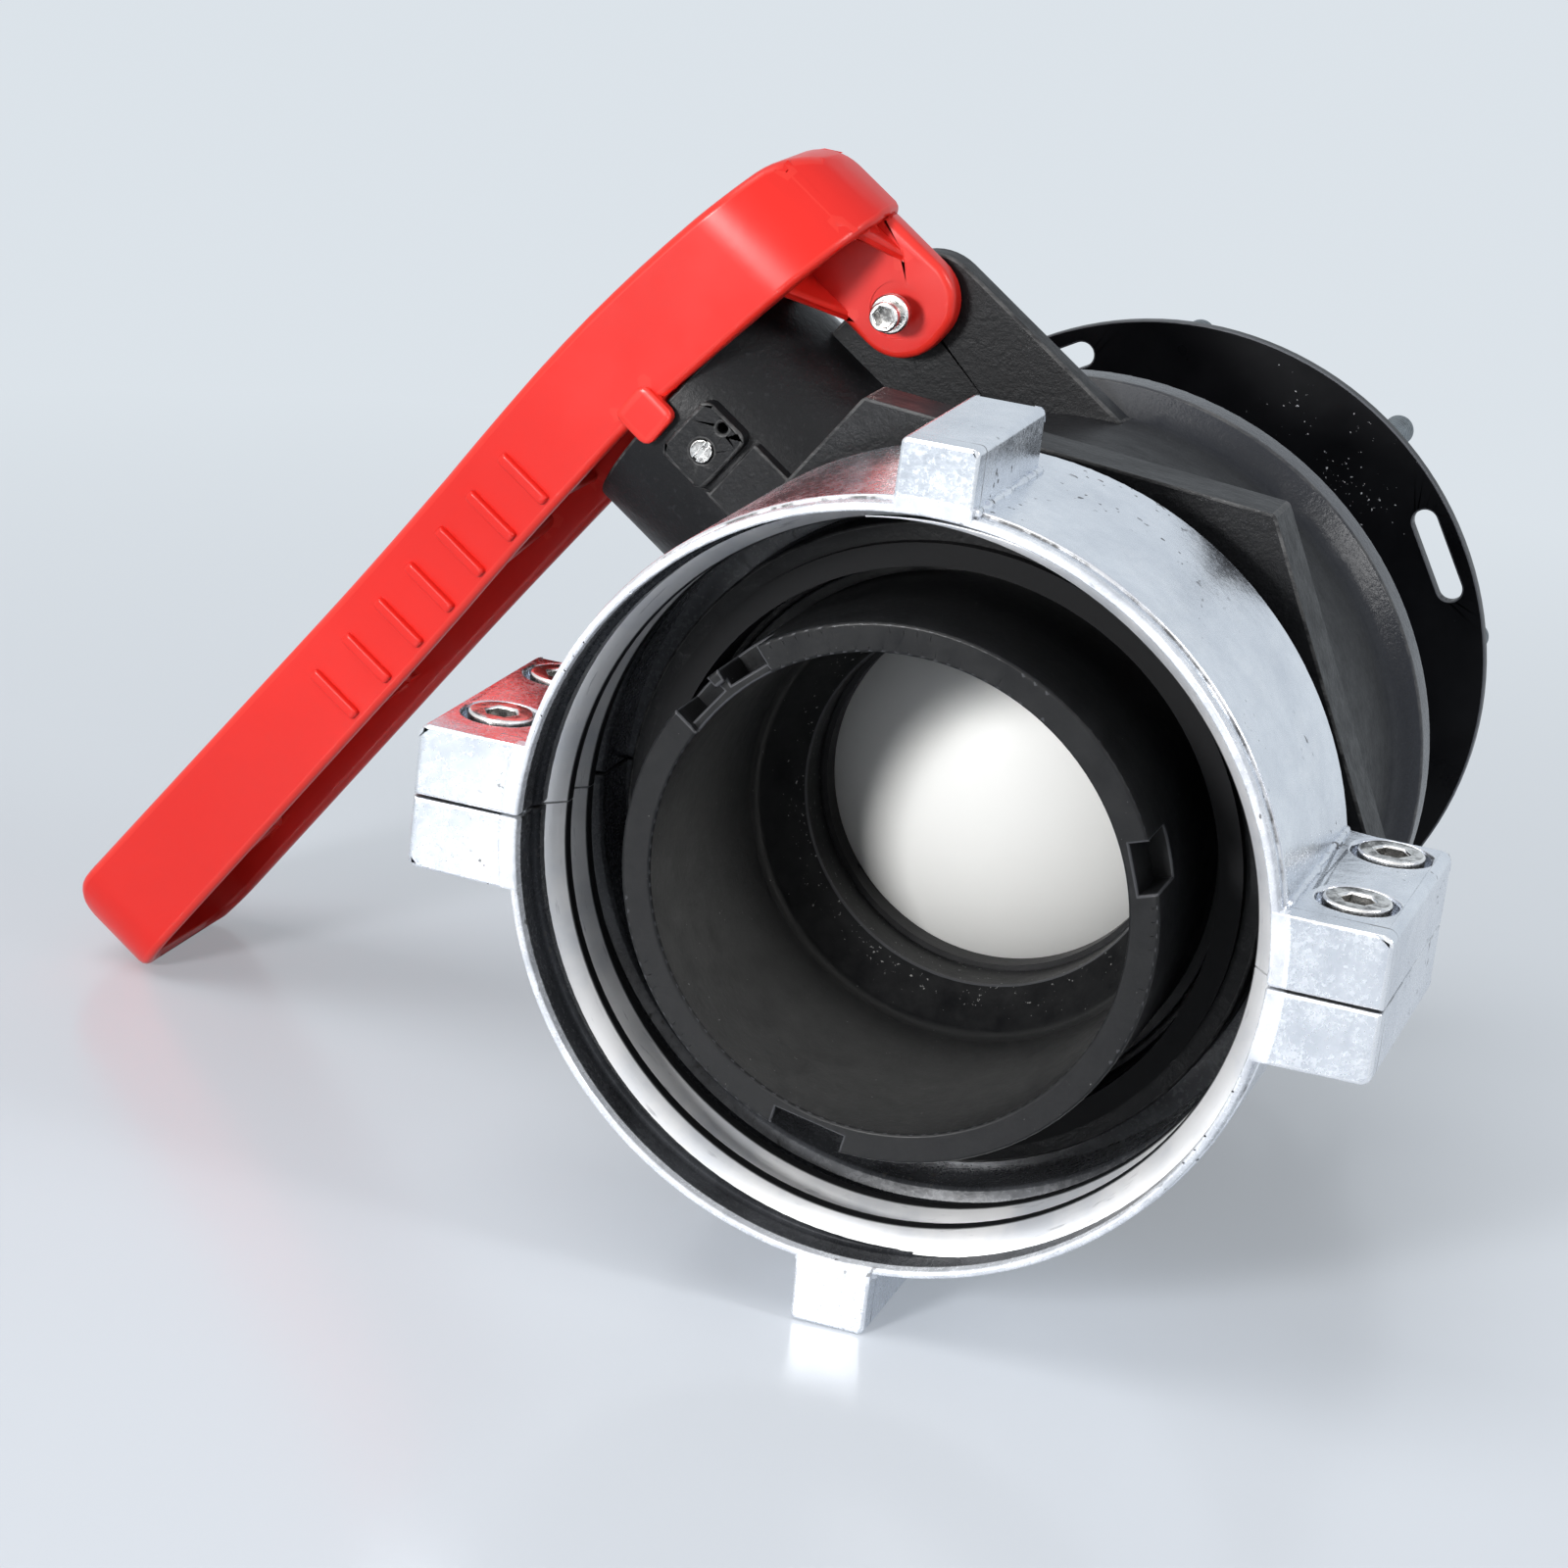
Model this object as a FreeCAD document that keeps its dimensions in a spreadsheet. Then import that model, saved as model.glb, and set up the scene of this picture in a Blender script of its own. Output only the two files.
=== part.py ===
"""Ball valve with a split union nut, a quarter-turn lever and a loose tank ring.

Design frame: Y is the flow axis and counts stations from the mouth face, Z is the stem, X is
to the right when looking into the mouth. Every piece is then placed in the resting attitude:
rolled about the flow axis, with the sealing plane at the tank as the origin.
"""
import FreeCAD, Part
import os
import re
import Sketcher

os.makedirs("parts", exist_ok=True)
doc = FreeCAD.newDocument("ball_valve")

# Driving dimensions in millimetres and degrees. Stations are measured from the mouth face.
SIZES = {
    # attitude
    "lean": 53.7, "nut_tilt": 1.2, "ring_clock": -3.0, "seal_face": 169.0,
    # clearances of the fits
    "run_play": 0.05, "slide_play": 0.06, "screw_play": 0.2, "free_play": 0.3,
    "thread_play": 0.02, "far_play": 0.4,
    # body
    "spigot_radius": 46.0, "collar_radius": 50.0, "collar_bore": 43.5, "collar_front": 28.0,
    "collar_rear": 36.0, "hex_corner": 66.0, "hex_front": 53.0, "hex_depth": 10.0,
    "barrel_front_radius": 53.5, "barrel_rear_radius": 55.2, "barrel_rear": 95.0,
    "disc_radius": 59.5, "disc_front": 99.5, "disc_rear": 107.0, "disc_round": 2.0,
    "tail_radius": 46.5, "body_rear": 126.0, "tail_chamfer": 2.5, "chamber_front": 60.0,
    "chamber_radius": 41.5, "seat_pocket_radius": 35.5, "rear_pocket_front": 117.0,
    "rear_pocket_rear": 124.0, "port_radius": 27.5, "overcut": 5.0,
    # neck, lock plate and pads
    "stem_station": 92.0, "neck_radius": 23.7, "neck_top": 81.6, "neck_foot": 43.0,
    "flange_seat": 45.0, "flange_play_z": 0.1, "gland_radius": 14.0,
    "gland_floor": 68.0, "gland_thick": 9.0, "plate_front": 89.5, "plate_thick": 5.0,
    "plate_left": 14.0, "plate_right": 47.5, "plate_top": 72.0, "plate_foot": 28.0,
    "plate_inner_foot": 40.0, "plate_round": 9.0,
    "pad_left": -3.0, "pad_wide": 12.0, "pad_front": 66.8, "pad_deep": 8.0,
    "pad_bottom": 67.5, "pad_tall": 9.5, "pad_round": 1.8, "low_pad_drop": 1.0,
    "low_pad_tall": 10.0,
    # seat carrier tube
    "tube_front": 1.6, "tube_radius": 40.7, "tube_bore": 36.2, "tube_round": 0.5,
    "tube_neck": 37.0, "tube_thread_radius": 42.4, "tube_play": 0.1, "tube_end_radius": 41.3,
    "tube_rear": 67.0, "groove_front": 55.8, "groove_wide": 2.6, "groove_deep": 2.3,
    "step_front": 45.5, "step_radius": 31.5, "step_rear": 50.5, "lip_front": 52.5,
    "lip_radius": 29.2, "notch_deep": 9.0, "notch_wall": 37.6, "key_angle": 82.5,
    "key_pitch": 13.0, "key_wide": 7.0, "key_lip_drop": 1.4, "low_notch_angle": -36.0,
    "low_notch_wide": 7.6, "left_notch_angle": -155.6, "left_notch_wide": 11.0,
    # ball and seats
    "ball_radius": 40.0, "ball_bore": 25.0, "ball_slot_deep": 7.1, "seat_play": 0.05,
    "seat_bore": 28.3, "seat_length": 6.8,
    # stem
    "stem_radius": 9.0, "tang_thick": 10.0, "tang_long": 22.0, "tang_play": 0.05,
    "stem_flange_radius": 12.0, "flange_side_play": 0.3, "stem_flange_floor": 40.6,
    "stem_shoulder": 80.0, "stem_square": 12.0, "stem_top": 93.0, "stem_groove_deep": 2.0,
    "stem_groove_wide": 3.0, "stem_groove_low": 50.0, "stem_groove_pitch": 7.0,
    "stem_seal": 1.0, "stem_tap_floor": 72.0,
    # union nut
    "nut_radius": 58.7, "nut_length": 45.0, "nut_round": 0.9, "nut_play": 0.06,
    "nut_web_front": 38.0, "nut_room": 54.0, "thread_root": 56.0, "thread_end": 27.0,
    "rim_inner": 56.9, "rim_deep": 6.0, "rim_band": 3.6, "rim_step": 0.5, "lug_half": 5.8,
    "lug_top": 67.8, "lug_length": 34.0, "lug_round": 1.0, "ear_reach": 73.7,
    "ear_half": 11.2, "ear_length": 44.0, "ear_round": 1.6, "split_gap": 0.3,
    "screw_x": 65.8, "screw_front": 12.5, "screw_pitch": 24.5, "screw_radius": 3.0,
    "screw_head_radius": 5.0, "screw_head": 3.4, "screw_sink": 3.0, "sink_play": 1.0,
    "screw_length": 18.0, "socket_corner": 2.6, "socket_deep": 2.0, "hex_nut_corner": 5.77,
    "hex_nut_thick": 5.0, "hex_nut_play": 0.15, "slip_thick": 1.6, "gasket_thick": 2.0,
    "gasket_wide": 3.6,
    # lever
    "lever_half": 25.0, "grip_half": 19.0, "lever_wall": 3.0, "hub_reach": 47.2,
    "hub_tip_low": 77.0, "hub_tip_top": 94.6, "hub_back": 89.5, "hub_corner": 19.0,
    "hub_low_x": -4.0, "hub_low": 83.0, "hub_top_x": 10.0,
    "hub_top": 100.3, "shoulder_x": -22.0, "grip_x": -60.0, "grip_low_x": -34.0,
    "grip_low": 83.6, "tip_x": -148.0, "tip_low": 84.3, "tip_top": 102.8, "tip_round": 9.0,
    "tip_heel": 4.0, "tip_corner": 11.0, "boss_radius": 13.0, "boss_foot": 82.2,
    "web_thick": 2.2, "web_floor": 88.0, "cell_first": -57.0, "cell_pitch": 19.5,
    "rib_half": 24.7, "rib_tilt": 30.0,
    "tab_front": 84.0, "tab_thick": 5.0, "tab_x": 37.3, "tab_half": 9.0,
    "tab_bottom": 58.0, "tab_corner": 8.0, "gusset_thick": 1.8, "gusset_foot": 71.0,
    "gusset_inset": 2.6, "gusset_set_back": 4.6, "hub_round": 9.0, "crown_round": 280.0,
    "lever_dish": 95.6, "dish_radius": 8.6, "washer_radius": 7.5,
    "washer_thick": 1.0, "lever_screw_long": 20.0, "lever_screw_head": 3.8,
    "stop_left": -3.9, "stop_wide": 7.4, "stop_bottom": 78.5, "stop_thick": 2.2,
    "hub_flat": 0.5, "waist_round": 180.0,
    # lock screw and the neck's screw
    "lock_x": 36.2, "lock_z": 66.0, "lock_radius": 2.0, "lock_tip": 89.2, "lock_seat": 81.3,
    "lock_head": 5.0, "lock_head_radius": 3.2, "lock_collar": 2.0, "lock_cap_radius": 2.4,
    "lock_socket": 1.7, "lock_recess": 4.7,
    "lock_recess_play": 0.2, "neck_screw_x": 2.2, "neck_screw_z": 71.8,
    "neck_screw_radius": 1.85, "neck_screw_long": 7.4, "neck_screw_out": 0.4,
    "neck_slot_wide": 0.7, "neck_slot_deep": 0.8, "pin_hole_x": 7.4, "pin_hole_radius": 0.9,
    # tank side
    "adapter_radius": 38.1, "adapter_lip_radius": 44.0, "adapter_lip_front": 162.8,
    "adapter_rear": 167.0, "adapter_bore": 33.0, "adapter_taper": 10.0, "tail_seal": 0.8,
    "tail_seal_radius": 35.0, "tail_groove_half": 2.0, "ring_front": 160.0,
    "ring_thick": 2.5, "ring_radius": 58.8, "ring_play": 0.08, "stud_circle": 52.0,
    "stud_radius": 2.7, "stud_tip": 189.0, "stud_chamfer": 1.2, "stud_foot_radius": 3.9,
    "stud_foot": 0.9, "slot_circle": 53.7, "slot_half": 2.2, "slot_reach": 6.2,
    "slot_clock": 22.5,
}
sheet = doc.addObject("Spreadsheet::Sheet", "dims")
for row, (name, size) in enumerate(SIZES.items(), start=1):
    sheet.set(f"A{row}", name)
    sheet.set(f"B{row}", str(size))
    sheet.setAlias(f"B{row}", name)
doc.recompute()


def formula(text):
    """An expression that reads the sheet, from sheet names, numbers and signs."""
    return re.sub(r"[a-z]\w*", lambda word: ("dims." if word[0] in SIZES else "") + word[0],
                  str(text))


def number(text):
    return float(sheet.evalExpression(formula(text)))


def pose(x, y, z, axis="0; 0; 1", angle="0"):
    """Text of a placement: a spot, then a turn about an axis through it."""
    return (f"create(<<placement>>; create(<<vector>>; {x}; {y}; {z}); "
            f"create(<<rotation>>; create(<<vector>>; {axis}); {angle}))")


LYING = ("1; 0; 0", "-90")
ACROSS = ("0; 1; 0", "90")


def put(obj, x="0", y="0", z="0", turn=("0; 0; 1", "0"), clock=None):
    """Place a piece; clock swings its spot about the flow axis, from the right to the top."""
    spot = pose(x, y, z, *turn)
    if clock is not None:
        spot = pose("0", "0", "0", "0; 1; 0", f"-({clock})") + " * " + spot
    obj.setExpression("Placement", formula(spot))
    return obj


def made(kind, label, **sums):
    """Primitive or feature whose properties are tied to the sheet."""
    obj = doc.addObject(kind, label)
    for prop, text in sums.items():
        obj.setExpression(prop, formula(text))
    return obj


def box(label, x, y, z, dx, dy, dz, turn=("0; 0; 1", "0"), clock=None):
    return put(made("Part::Box", label, Length=dx, Width=dy, Height=dz), x, y, z, turn, clock)


def post(label, radius, x, y, z, height, turn=("0; 0; 1", "0"), clock=None):
    """Cylinder that stands along the stem, or lies along the flow axis."""
    return put(made("Part::Cylinder", label, Radius=radius, Height=height), x, y, z, turn, clock)


def hexagon(label, corner, x, y, z, height, turn=("0; 0; 1", "0")):
    obj = made("Part::Prism", label, Circumradius=corner, Height=height)
    obj.Polygon = 6
    return put(obj, x, y, z, turn)


def ring_seal(label, radius, thickness, station=None, level=None):
    """Torus about the flow axis at a station, or about the stem at a level."""
    obj = made("Part::Torus", label, Radius1=radius, Radius2=thickness)
    if level:
        return put(obj, "0", "stem_station", level)
    return put(obj, "0", station, "0", LYING)


def fuse(label, *pieces):
    obj = doc.addObject("Part::MultiFuse", label)
    obj.Shapes = list(pieces)
    obj.Refine = True
    return obj


def cut(label, base, *tools):
    obj = doc.addObject("Part::Cut", label)
    obj.Base = base
    obj.Tool = tools[0] if len(tools) == 1 else fuse(label + "_tools", *tools)
    obj.Refine = True
    return obj


def common(label, *pieces):
    obj = doc.addObject("Part::MultiCommon", label)
    obj.Shapes = list(pieces)
    return obj


def outline(sketch, points):
    """Closed polygon whose corners are tied to the sheet."""
    spots = [FreeCAD.Vector(number(u), number(v), 0) for u, v in points]
    count = len(spots)
    for i in range(count):
        sketch.addGeometry(Part.LineSegment(spots[i], spots[(i + 1) % count]), False)
    for i in range(count):
        sketch.addConstraint(Sketcher.Constraint("Coincident", i, 2, (i + 1) % count, 1))
    for i, (u, v) in enumerate(points):
        for kind, axis, text in (("DistanceX", -2, u), ("DistanceY", -1, v)):
            if text == "0":
                sketch.addConstraint(Sketcher.Constraint("PointOnObject", i, 1, axis))
            else:
                at = sketch.addConstraint(
                    Sketcher.Constraint(kind, -1, 1, i, 1, number(text)))
                sketch.setExpression(f"Constraints[{at}]", formula(text))


PLANES = {"XY": (3, "x", "y"), "XZ": (4, "x", "z"), "YZ": (5, "y", "z")}


def body_with_sketch(label, plane):
    """Body with a sketch on one of its own origin planes."""
    body = doc.addObject("PartDesign::Body", label)
    sketch = body.newObject("Sketcher::SketchObject", label + "_sketch")
    sketch.AttachmentSupport = [(body.Origin.OriginFeatures[PLANES[plane][0]], "")]
    sketch.MapMode = "FlatFace"
    sketch.Visibility = False
    return body, sketch


def round_edges(body, radius, wanted):
    """Fillet the edges of the body's last feature that a test accepts."""
    doc.recompute()
    last = body.Tip
    names = [f"Edge{i}" for i, edge in enumerate(last.Shape.Edges, start=1) if wanted(edge)]
    fillet = body.newObject("PartDesign::Fillet", f"{body.Label}_round")
    fillet.Base = (last, names)
    fillet.setExpression("Radius", formula(radius))
    return body


def at_corners(plane, corners):
    """Test for edges that stand on the given corners of an outline."""
    first, second = PLANES[plane][1:]
    spots = {(round(number(u), 3), round(number(v), 3)) for u, v in corners}

    def wanted(edge):
        ends = {(round(getattr(v, first.upper()), 3), round(getattr(v, second.upper()), 3))
                for v in edge.Vertexes}
        return len(ends) == 1 and ends <= spots
    return wanted


def turned(label, points, *rounds):
    """Body of revolution about the flow axis from (radius, station) corners."""
    body, sketch = body_with_sketch(label, "XY")
    outline(sketch, points)
    spin = body.newObject("PartDesign::Revolution", label + "_turn")
    spin.Profile = sketch
    spin.ReferenceAxis = (sketch, ["V_Axis"])
    spin.Angle = 360
    for radius, corners in rounds:
        round_edges(body, radius, at_corners("XY", corners))
    return body


def padded(label, points, plane, depth, offset="0", rounds=()):
    """Body padded from a polygon, half its depth to each side of a shifted origin plane."""
    body, sketch = body_with_sketch(label, plane)
    outline(sketch, points)
    if offset != "0":
        sketch.setExpression("AttachmentOffset.Base.z", formula(offset))
    pad = body.newObject("PartDesign::Pad", label + "_pad")
    pad.Profile = sketch
    pad.Length = number(depth)
    pad.setExpression("Length", formula(depth))
    pad.Midplane = True
    for radius, corners in rounds:
        round_edges(body, radius, at_corners(plane, corners))
    return body


NODES = []


def node(obj, name, roll="-lean"):
    """Name a finished piece and give it its resting placement."""
    holder = obj
    if obj.isDerivedFrom("Part::Primitive"):
        holder = doc.addObject("Part::Compound", name + "_piece")
        holder.Links = [obj]
    holder.Label = name
    holder.setExpression("Placement", formula(
        pose("0", "-seal_face", "0", "0; 1; 0", roll)))
    NODES.append((name, holder))
    return holder


# Valve body
body_outer = turned("body_outer", [
    ("0", "collar_front"), ("collar_radius", "collar_front"), ("collar_radius", "collar_rear"),
    ("spigot_radius", "collar_rear"), ("spigot_radius", "hex_front"),
    ("barrel_front_radius", "hex_front"), ("barrel_rear_radius", "barrel_rear"),
    ("disc_radius", "disc_front"), ("disc_radius", "disc_rear"), ("tail_radius", "disc_rear"),
    ("tail_radius", "body_rear - tail_chamfer"), ("tail_radius - tail_chamfer", "body_rear"),
    ("0", "body_rear")], ("disc_round", [("disc_radius", "disc_rear")]))
TUBE_THREAD_BORE = "tube_thread_radius + tube_play"
body_cavity = turned("body_cavity", [
    ("0", "collar_front - overcut"), ("collar_bore", "collar_front - overcut"),
    ("collar_bore", "tube_neck"), (TUBE_THREAD_BORE, "tube_neck"),
    (TUBE_THREAD_BORE, "chamber_front"), ("chamber_radius", "chamber_front"),
    ("chamber_radius", "rear_pocket_front - overcut"),
    ("seat_pocket_radius", "rear_pocket_front"), ("seat_pocket_radius", "rear_pocket_rear"),
    ("port_radius", "rear_pocket_rear"), ("port_radius", "body_rear + overcut"),
    ("0", "body_rear + overcut")])
hex_collar = hexagon("hex_collar", "hex_corner", "0", "hex_front", "0", "hex_depth", LYING)
neck = post("neck", "neck_radius", "0", "stem_station", "neck_foot", "neck_top - neck_foot")
plate = padded("plate", [
    ("plate_left", "plate_inner_foot"), ("plate_right", "plate_foot"),
    ("plate_right", "plate_top"), ("plate_left", "plate_top")], "XZ", "plate_thick",
    "-plate_front - plate_thick / 2", [("plate_round", [("plate_right", "plate_top")])])
PAD_RIGHT = "pad_left + pad_wide"
pads = [
    padded("pad", [("pad_left", "pad_bottom"), (PAD_RIGHT, "pad_bottom"),
                   (PAD_RIGHT, "pad_bottom + pad_tall"), ("pad_left", "pad_bottom + pad_tall")],
           "XZ", "pad_deep", "-pad_front - pad_deep / 2",
           [("pad_round", [("pad_left", "pad_bottom"), (PAD_RIGHT, "pad_bottom"),
                           (PAD_RIGHT, "pad_bottom + pad_tall"),
                           ("pad_left", "pad_bottom + pad_tall")])]),
    box("low_pad", "pad_left", "pad_front + low_pad_drop", "pad_bottom - low_pad_tall",
        "pad_wide", "pad_deep", "low_pad_tall - low_pad_drop")]
NECK_SCREW_BACK = "pad_front - neck_screw_out + neck_screw_long + free_play"
body_solid = fuse("body_solid", body_outer, hex_collar, neck, plate, *pads)
STEM_BORE = "stem_radius + run_play"
FLANGE_BORE = "stem_flange_radius + flange_side_play"
node(cut("body_cut", body_solid, body_cavity,
         post("stem_hole", STEM_BORE, "0", "stem_station", "ball_radius - overcut",
              "neck_top"),
         post("flange_hole", FLANGE_BORE, "0", "stem_station", "ball_radius - overcut",
              "flange_seat - ball_radius + overcut"),
         post("gland_hole", "gland_radius", "0", "stem_station", "gland_floor", "neck_top"),
         post("lock_clearance", "lock_radius + far_play", "lock_x", "plate_front - overcut",
              "lock_z", "plate_thick + 2 * overcut", LYING),
         post("neck_screw_hole", "neck_screw_radius + run_play", "neck_screw_x",
              "pad_front - overcut", "neck_screw_z", f"{NECK_SCREW_BACK} - pad_front + overcut",
              LYING),
         post("pin_hole", "pin_hole_radius", "pin_hole_x", "pad_front - overcut",
              "neck_screw_z", "2 * overcut", LYING)), "valve_body")

# Seat carrier tube: a double key notch at the top and two single notches, cut from outside
GROOVE_REAR = "groove_front + groove_wide"
carrier_solid = turned("carrier_solid", [
    ("tube_bore", "tube_front"), ("tube_radius", "tube_front"), ("tube_radius", "tube_neck"),
    ("tube_thread_radius", "tube_neck"), ("tube_thread_radius", "groove_front"),
    ("tube_thread_radius - groove_deep", "groove_front"),
    ("tube_thread_radius - groove_deep", GROOVE_REAR), ("tube_thread_radius", GROOVE_REAR),
    ("tube_thread_radius", "chamber_front"), ("tube_end_radius", "chamber_front"),
    ("tube_end_radius", "tube_rear"), ("seat_pocket_radius", "tube_rear"),
    ("seat_pocket_radius", "chamber_front"), ("lip_radius", "chamber_front"),
    ("lip_radius", "lip_front"), ("step_radius", "step_rear"), ("tube_bore", "step_front")],
    ("tube_round", [("tube_bore", "tube_front"), ("tube_radius", "tube_front")]))
NOTCHES = [("key_angle - key_pitch / 2", "key_wide"), ("key_angle + key_pitch / 2", "key_wide"),
           ("low_notch_angle", "low_notch_wide"), ("left_notch_angle", "left_notch_wide")]
notches = [box(f"notch_{index}", "notch_wall", "tube_front - overcut", f"-({wide}) / 2",
               "tube_radius", "notch_deep + overcut", wide, clock=angle)
           for index, (angle, wide) in enumerate(NOTCHES)]
notches.append(box("key_lip", "tube_bore - overcut", "tube_front - overcut",
                   "-(key_wide + key_pitch * tube_bore * pi / 180) / 2", "overcut + overcut / 2",
                   "key_lip_drop + overcut", "key_wide + key_pitch * tube_bore * pi / 180",
                   clock="key_angle"))
node(cut("carrier_cut", carrier_solid, *notches), "seat_carrier")
node(ring_seal("carrier_seal", "tube_thread_radius - groove_deep + stem_seal + slide_play",
               "stem_seal", "groove_front + groove_wide / 2"), "carrier_o_ring")

# Seats and ball
run = put(made("Part::Sphere", "seat_sphere", Radius="ball_radius + seat_play"), "0",
          "stem_station", "0")
for name, near in (("front_seat", "chamber_front"),
                   ("rear_seat", "rear_pocket_rear - seat_length")):
    ring = turned(name + "_ring", [("seat_bore", near), ("seat_pocket_radius", near),
                                   ("seat_pocket_radius", near + " + seat_length"),
                                   ("seat_bore", near + " + seat_length")])
    node(cut(name + "_cut", ring, run), name)
ball_solid = put(made("Part::Sphere", "ball_solid", Radius="ball_radius"), "0",
                 "stem_station", "0")
node(cut("ball_cut", ball_solid,
         post("ball_port", "ball_bore", "-ball_radius - overcut", "stem_station", "0",
              "2 * (ball_radius + overcut)", ACROSS),
         box("ball_slot", "-tang_thick / 2 - tang_play", "stem_station - tang_long / 2 - 1",
             "ball_radius - ball_slot_deep", "tang_thick + 2 * tang_play", "tang_long + 2",
             "ball_slot_deep + overcut")), "ball")

# Stem with two O-rings, and the gland ring
FLANGE_TOP = "flange_seat - flange_play_z"
TANG_FLOOR = "ball_radius - ball_slot_deep + 2 * tang_play"
stem_solid = fuse(
    "stem_solid",
    box("tang", "-tang_thick / 2", "stem_station - tang_long / 2", TANG_FLOOR, "tang_thick",
        "tang_long", f"stem_flange_floor - ({TANG_FLOOR})"),
    post("stem_flange", "stem_flange_radius", "0", "stem_station", "stem_flange_floor",
         f"{FLANGE_TOP} - stem_flange_floor"),
    post("stem_shaft", "stem_radius", "0", "stem_station", FLANGE_TOP,
         f"stem_shoulder - ({FLANGE_TOP})"),
    box("stem_head", "-stem_square / 2", "stem_station - stem_square / 2", "stem_shoulder",
        "stem_square", "stem_square", "stem_top - stem_shoulder"))
CORE = "stem_radius - stem_groove_deep"
LEVELS = ("stem_groove_low", "stem_groove_low + stem_groove_pitch")
grooves = [cut(f"groove_{level}",
               post(f"groove_blank_{level}", "stem_radius + overcut", "0", "stem_station", low,
                    "stem_groove_wide"),
               post(f"groove_core_{level}", CORE, "0", "stem_station", low, "stem_groove_wide"))
           for level, low in enumerate(LEVELS)]
node(cut("stem_cut", stem_solid,
         post("stem_tapping", "screw_radius + thread_play", "0", "stem_station",
              "stem_tap_floor", "stem_top"), *grooves), "stem")
for name, low in zip(("lower", "upper"), LEVELS):
    node(ring_seal(name + "_seal", f"{CORE} + stem_seal", "stem_seal",
                   level=low + " + stem_groove_wide / 2"), "stem_o_ring_" + name)
node(cut("gland_cut",
         post("gland", "gland_radius", "0", "stem_station", "gland_floor", "gland_thick"),
         post("gland_bore", "stem_radius + free_play", "0", "stem_station", "gland_floor",
              "gland_thick")), "gland_ring")


# Lever: the same side and plan outlines make its outside and, inset by a wall, its hollow
def lever_form(label, inset):
    deep = "2 * (lever_half + overcut)"
    side = padded(label + "_side", [
        (f"hub_reach - {inset}", f"hub_tip_low - 5 * {inset}"),
        ("hub_low_x", f"hub_low - 5 * {inset}"), ("grip_low_x", f"grip_low - 5 * {inset}"),
        (f"tip_x + {inset}", f"tip_low - 5 * {inset}"),
        (f"tip_x + {inset}", f"tip_top - {inset}"), ("grip_low_x", f"hub_top - {inset}"),
        ("hub_top_x", f"hub_top - {inset}"), (f"hub_reach - {inset}", f"hub_tip_top - {inset}")],
        "XZ", deep, "-stem_station",
        [(f"tip_round - {inset}", [(f"tip_x + {inset}", f"tip_top - {inset}")]),
         ("tip_heel", [(f"tip_x + {inset}", f"tip_low - 5 * {inset}")]),
         (f"hub_round - {inset}", [(f"hub_reach - {inset}", f"hub_tip_top - {inset}")]),
         ("crown_round", [("hub_top_x", f"hub_top - {inset}")])])
    half = f"(lever_half - {inset})"
    grip = f"(grip_half - {inset})"
    front, back = f"stem_station - {half}", f"stem_station + {half}"
    reach, heel = f"hub_reach - {inset}", f"hub_back - {inset} / 2"
    corners = [(reach, front), (reach, heel), (half, heel), (half, back), ("shoulder_x", back),
               ("grip_x", f"stem_station + {grip}"), (f"tip_x + {inset}", f"stem_station + {grip}"),
               (f"tip_x + {inset}", f"stem_station - {grip}"),
               ("grip_x", f"stem_station - {grip}"), ("shoulder_x", front)]
    plan = padded(label + "_plan", corners, "XY", "2 * tip_top", "0",
                  [(f"hub_corner - {inset}", corners[:1]), (f"{half} - hub_flat", corners[3:4]),
                   (f"tip_corner - {inset}", corners[6:8]),
                   ("waist_round", corners[4:6] + corners[8:])])
    return common(label, side, plan)


outer = lever_form("lever_outer", "0")
webs = [post("boss", "boss_radius", "0", "stem_station", "boss_foot", "neck_radius"),
        box("tab_root", "tab_x - tab_half", "tab_front", "hub_tip_low", "2 * tab_half",
            "tab_thick", "neck_radius"),
        box("hub_web", "shoulder_x - boss_radius", "stem_station - lever_half", "web_floor",
            "web_thick", "2 * lever_half", "neck_radius"),
        box("hub_rib", "shoulder_x - boss_radius", "stem_station - web_thick / 2", "web_floor",
            "boss_radius", "web_thick", "neck_radius")]
for index in range(5):
    side, tilt = ("+", "rib_tilt") if index % 2 else ("-", "-rib_tilt")
    webs.append(box(f"zigzag_{index}",
                    f"cell_first - {index} * cell_pitch {side} rib_half * sin(rib_tilt)",
                    "stem_station - rib_half * cos(rib_tilt)", "web_floor", "web_thick",
                    "2 * rib_half", "neck_radius", ("0; 0; 1", tilt)))
hollow = cut("lever_hollow", lever_form("lever_room", "lever_wall"), *webs)
TAB_LEFT, TAB_RIGHT = "tab_x - tab_half", "tab_x + tab_half"
tab = padded("tab", [(TAB_LEFT, "tab_bottom"), (TAB_RIGHT, "tab_bottom"),
                     (TAB_RIGHT, "hub_low"), (TAB_LEFT, "hub_low")], "XZ", "tab_thick",
             "-tab_front - tab_thick / 2",
             [("tab_corner", [(TAB_LEFT, "tab_bottom"), (TAB_RIGHT, "tab_bottom")])])
FRONT_MIDDLE = "stem_station - lever_half + lever_wall / 2"
gussets = [padded(f"gusset_{side}", [
    (start, "hub_low - 2"), ("tab_front", "gusset_foot"), ("tab_front", "hub_tip_top - 2"),
    (start, "hub_tip_top - 2")], "YZ", "gusset_thick", spot)
    for side, start, spot in (
        ("left", FRONT_MIDDLE, f"{TAB_LEFT} + gusset_thick / 2"),
        ("right", f"{FRONT_MIDDLE} + gusset_set_back",
         f"{TAB_RIGHT} - gusset_inset - gusset_thick / 2"))]
stop = box("stop", "stop_left", "stem_station - neck_radius - free_play - stop_thick",
           "stop_bottom", "stop_wide", "stop_thick", "hub_low - stop_bottom + lever_wall")
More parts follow.
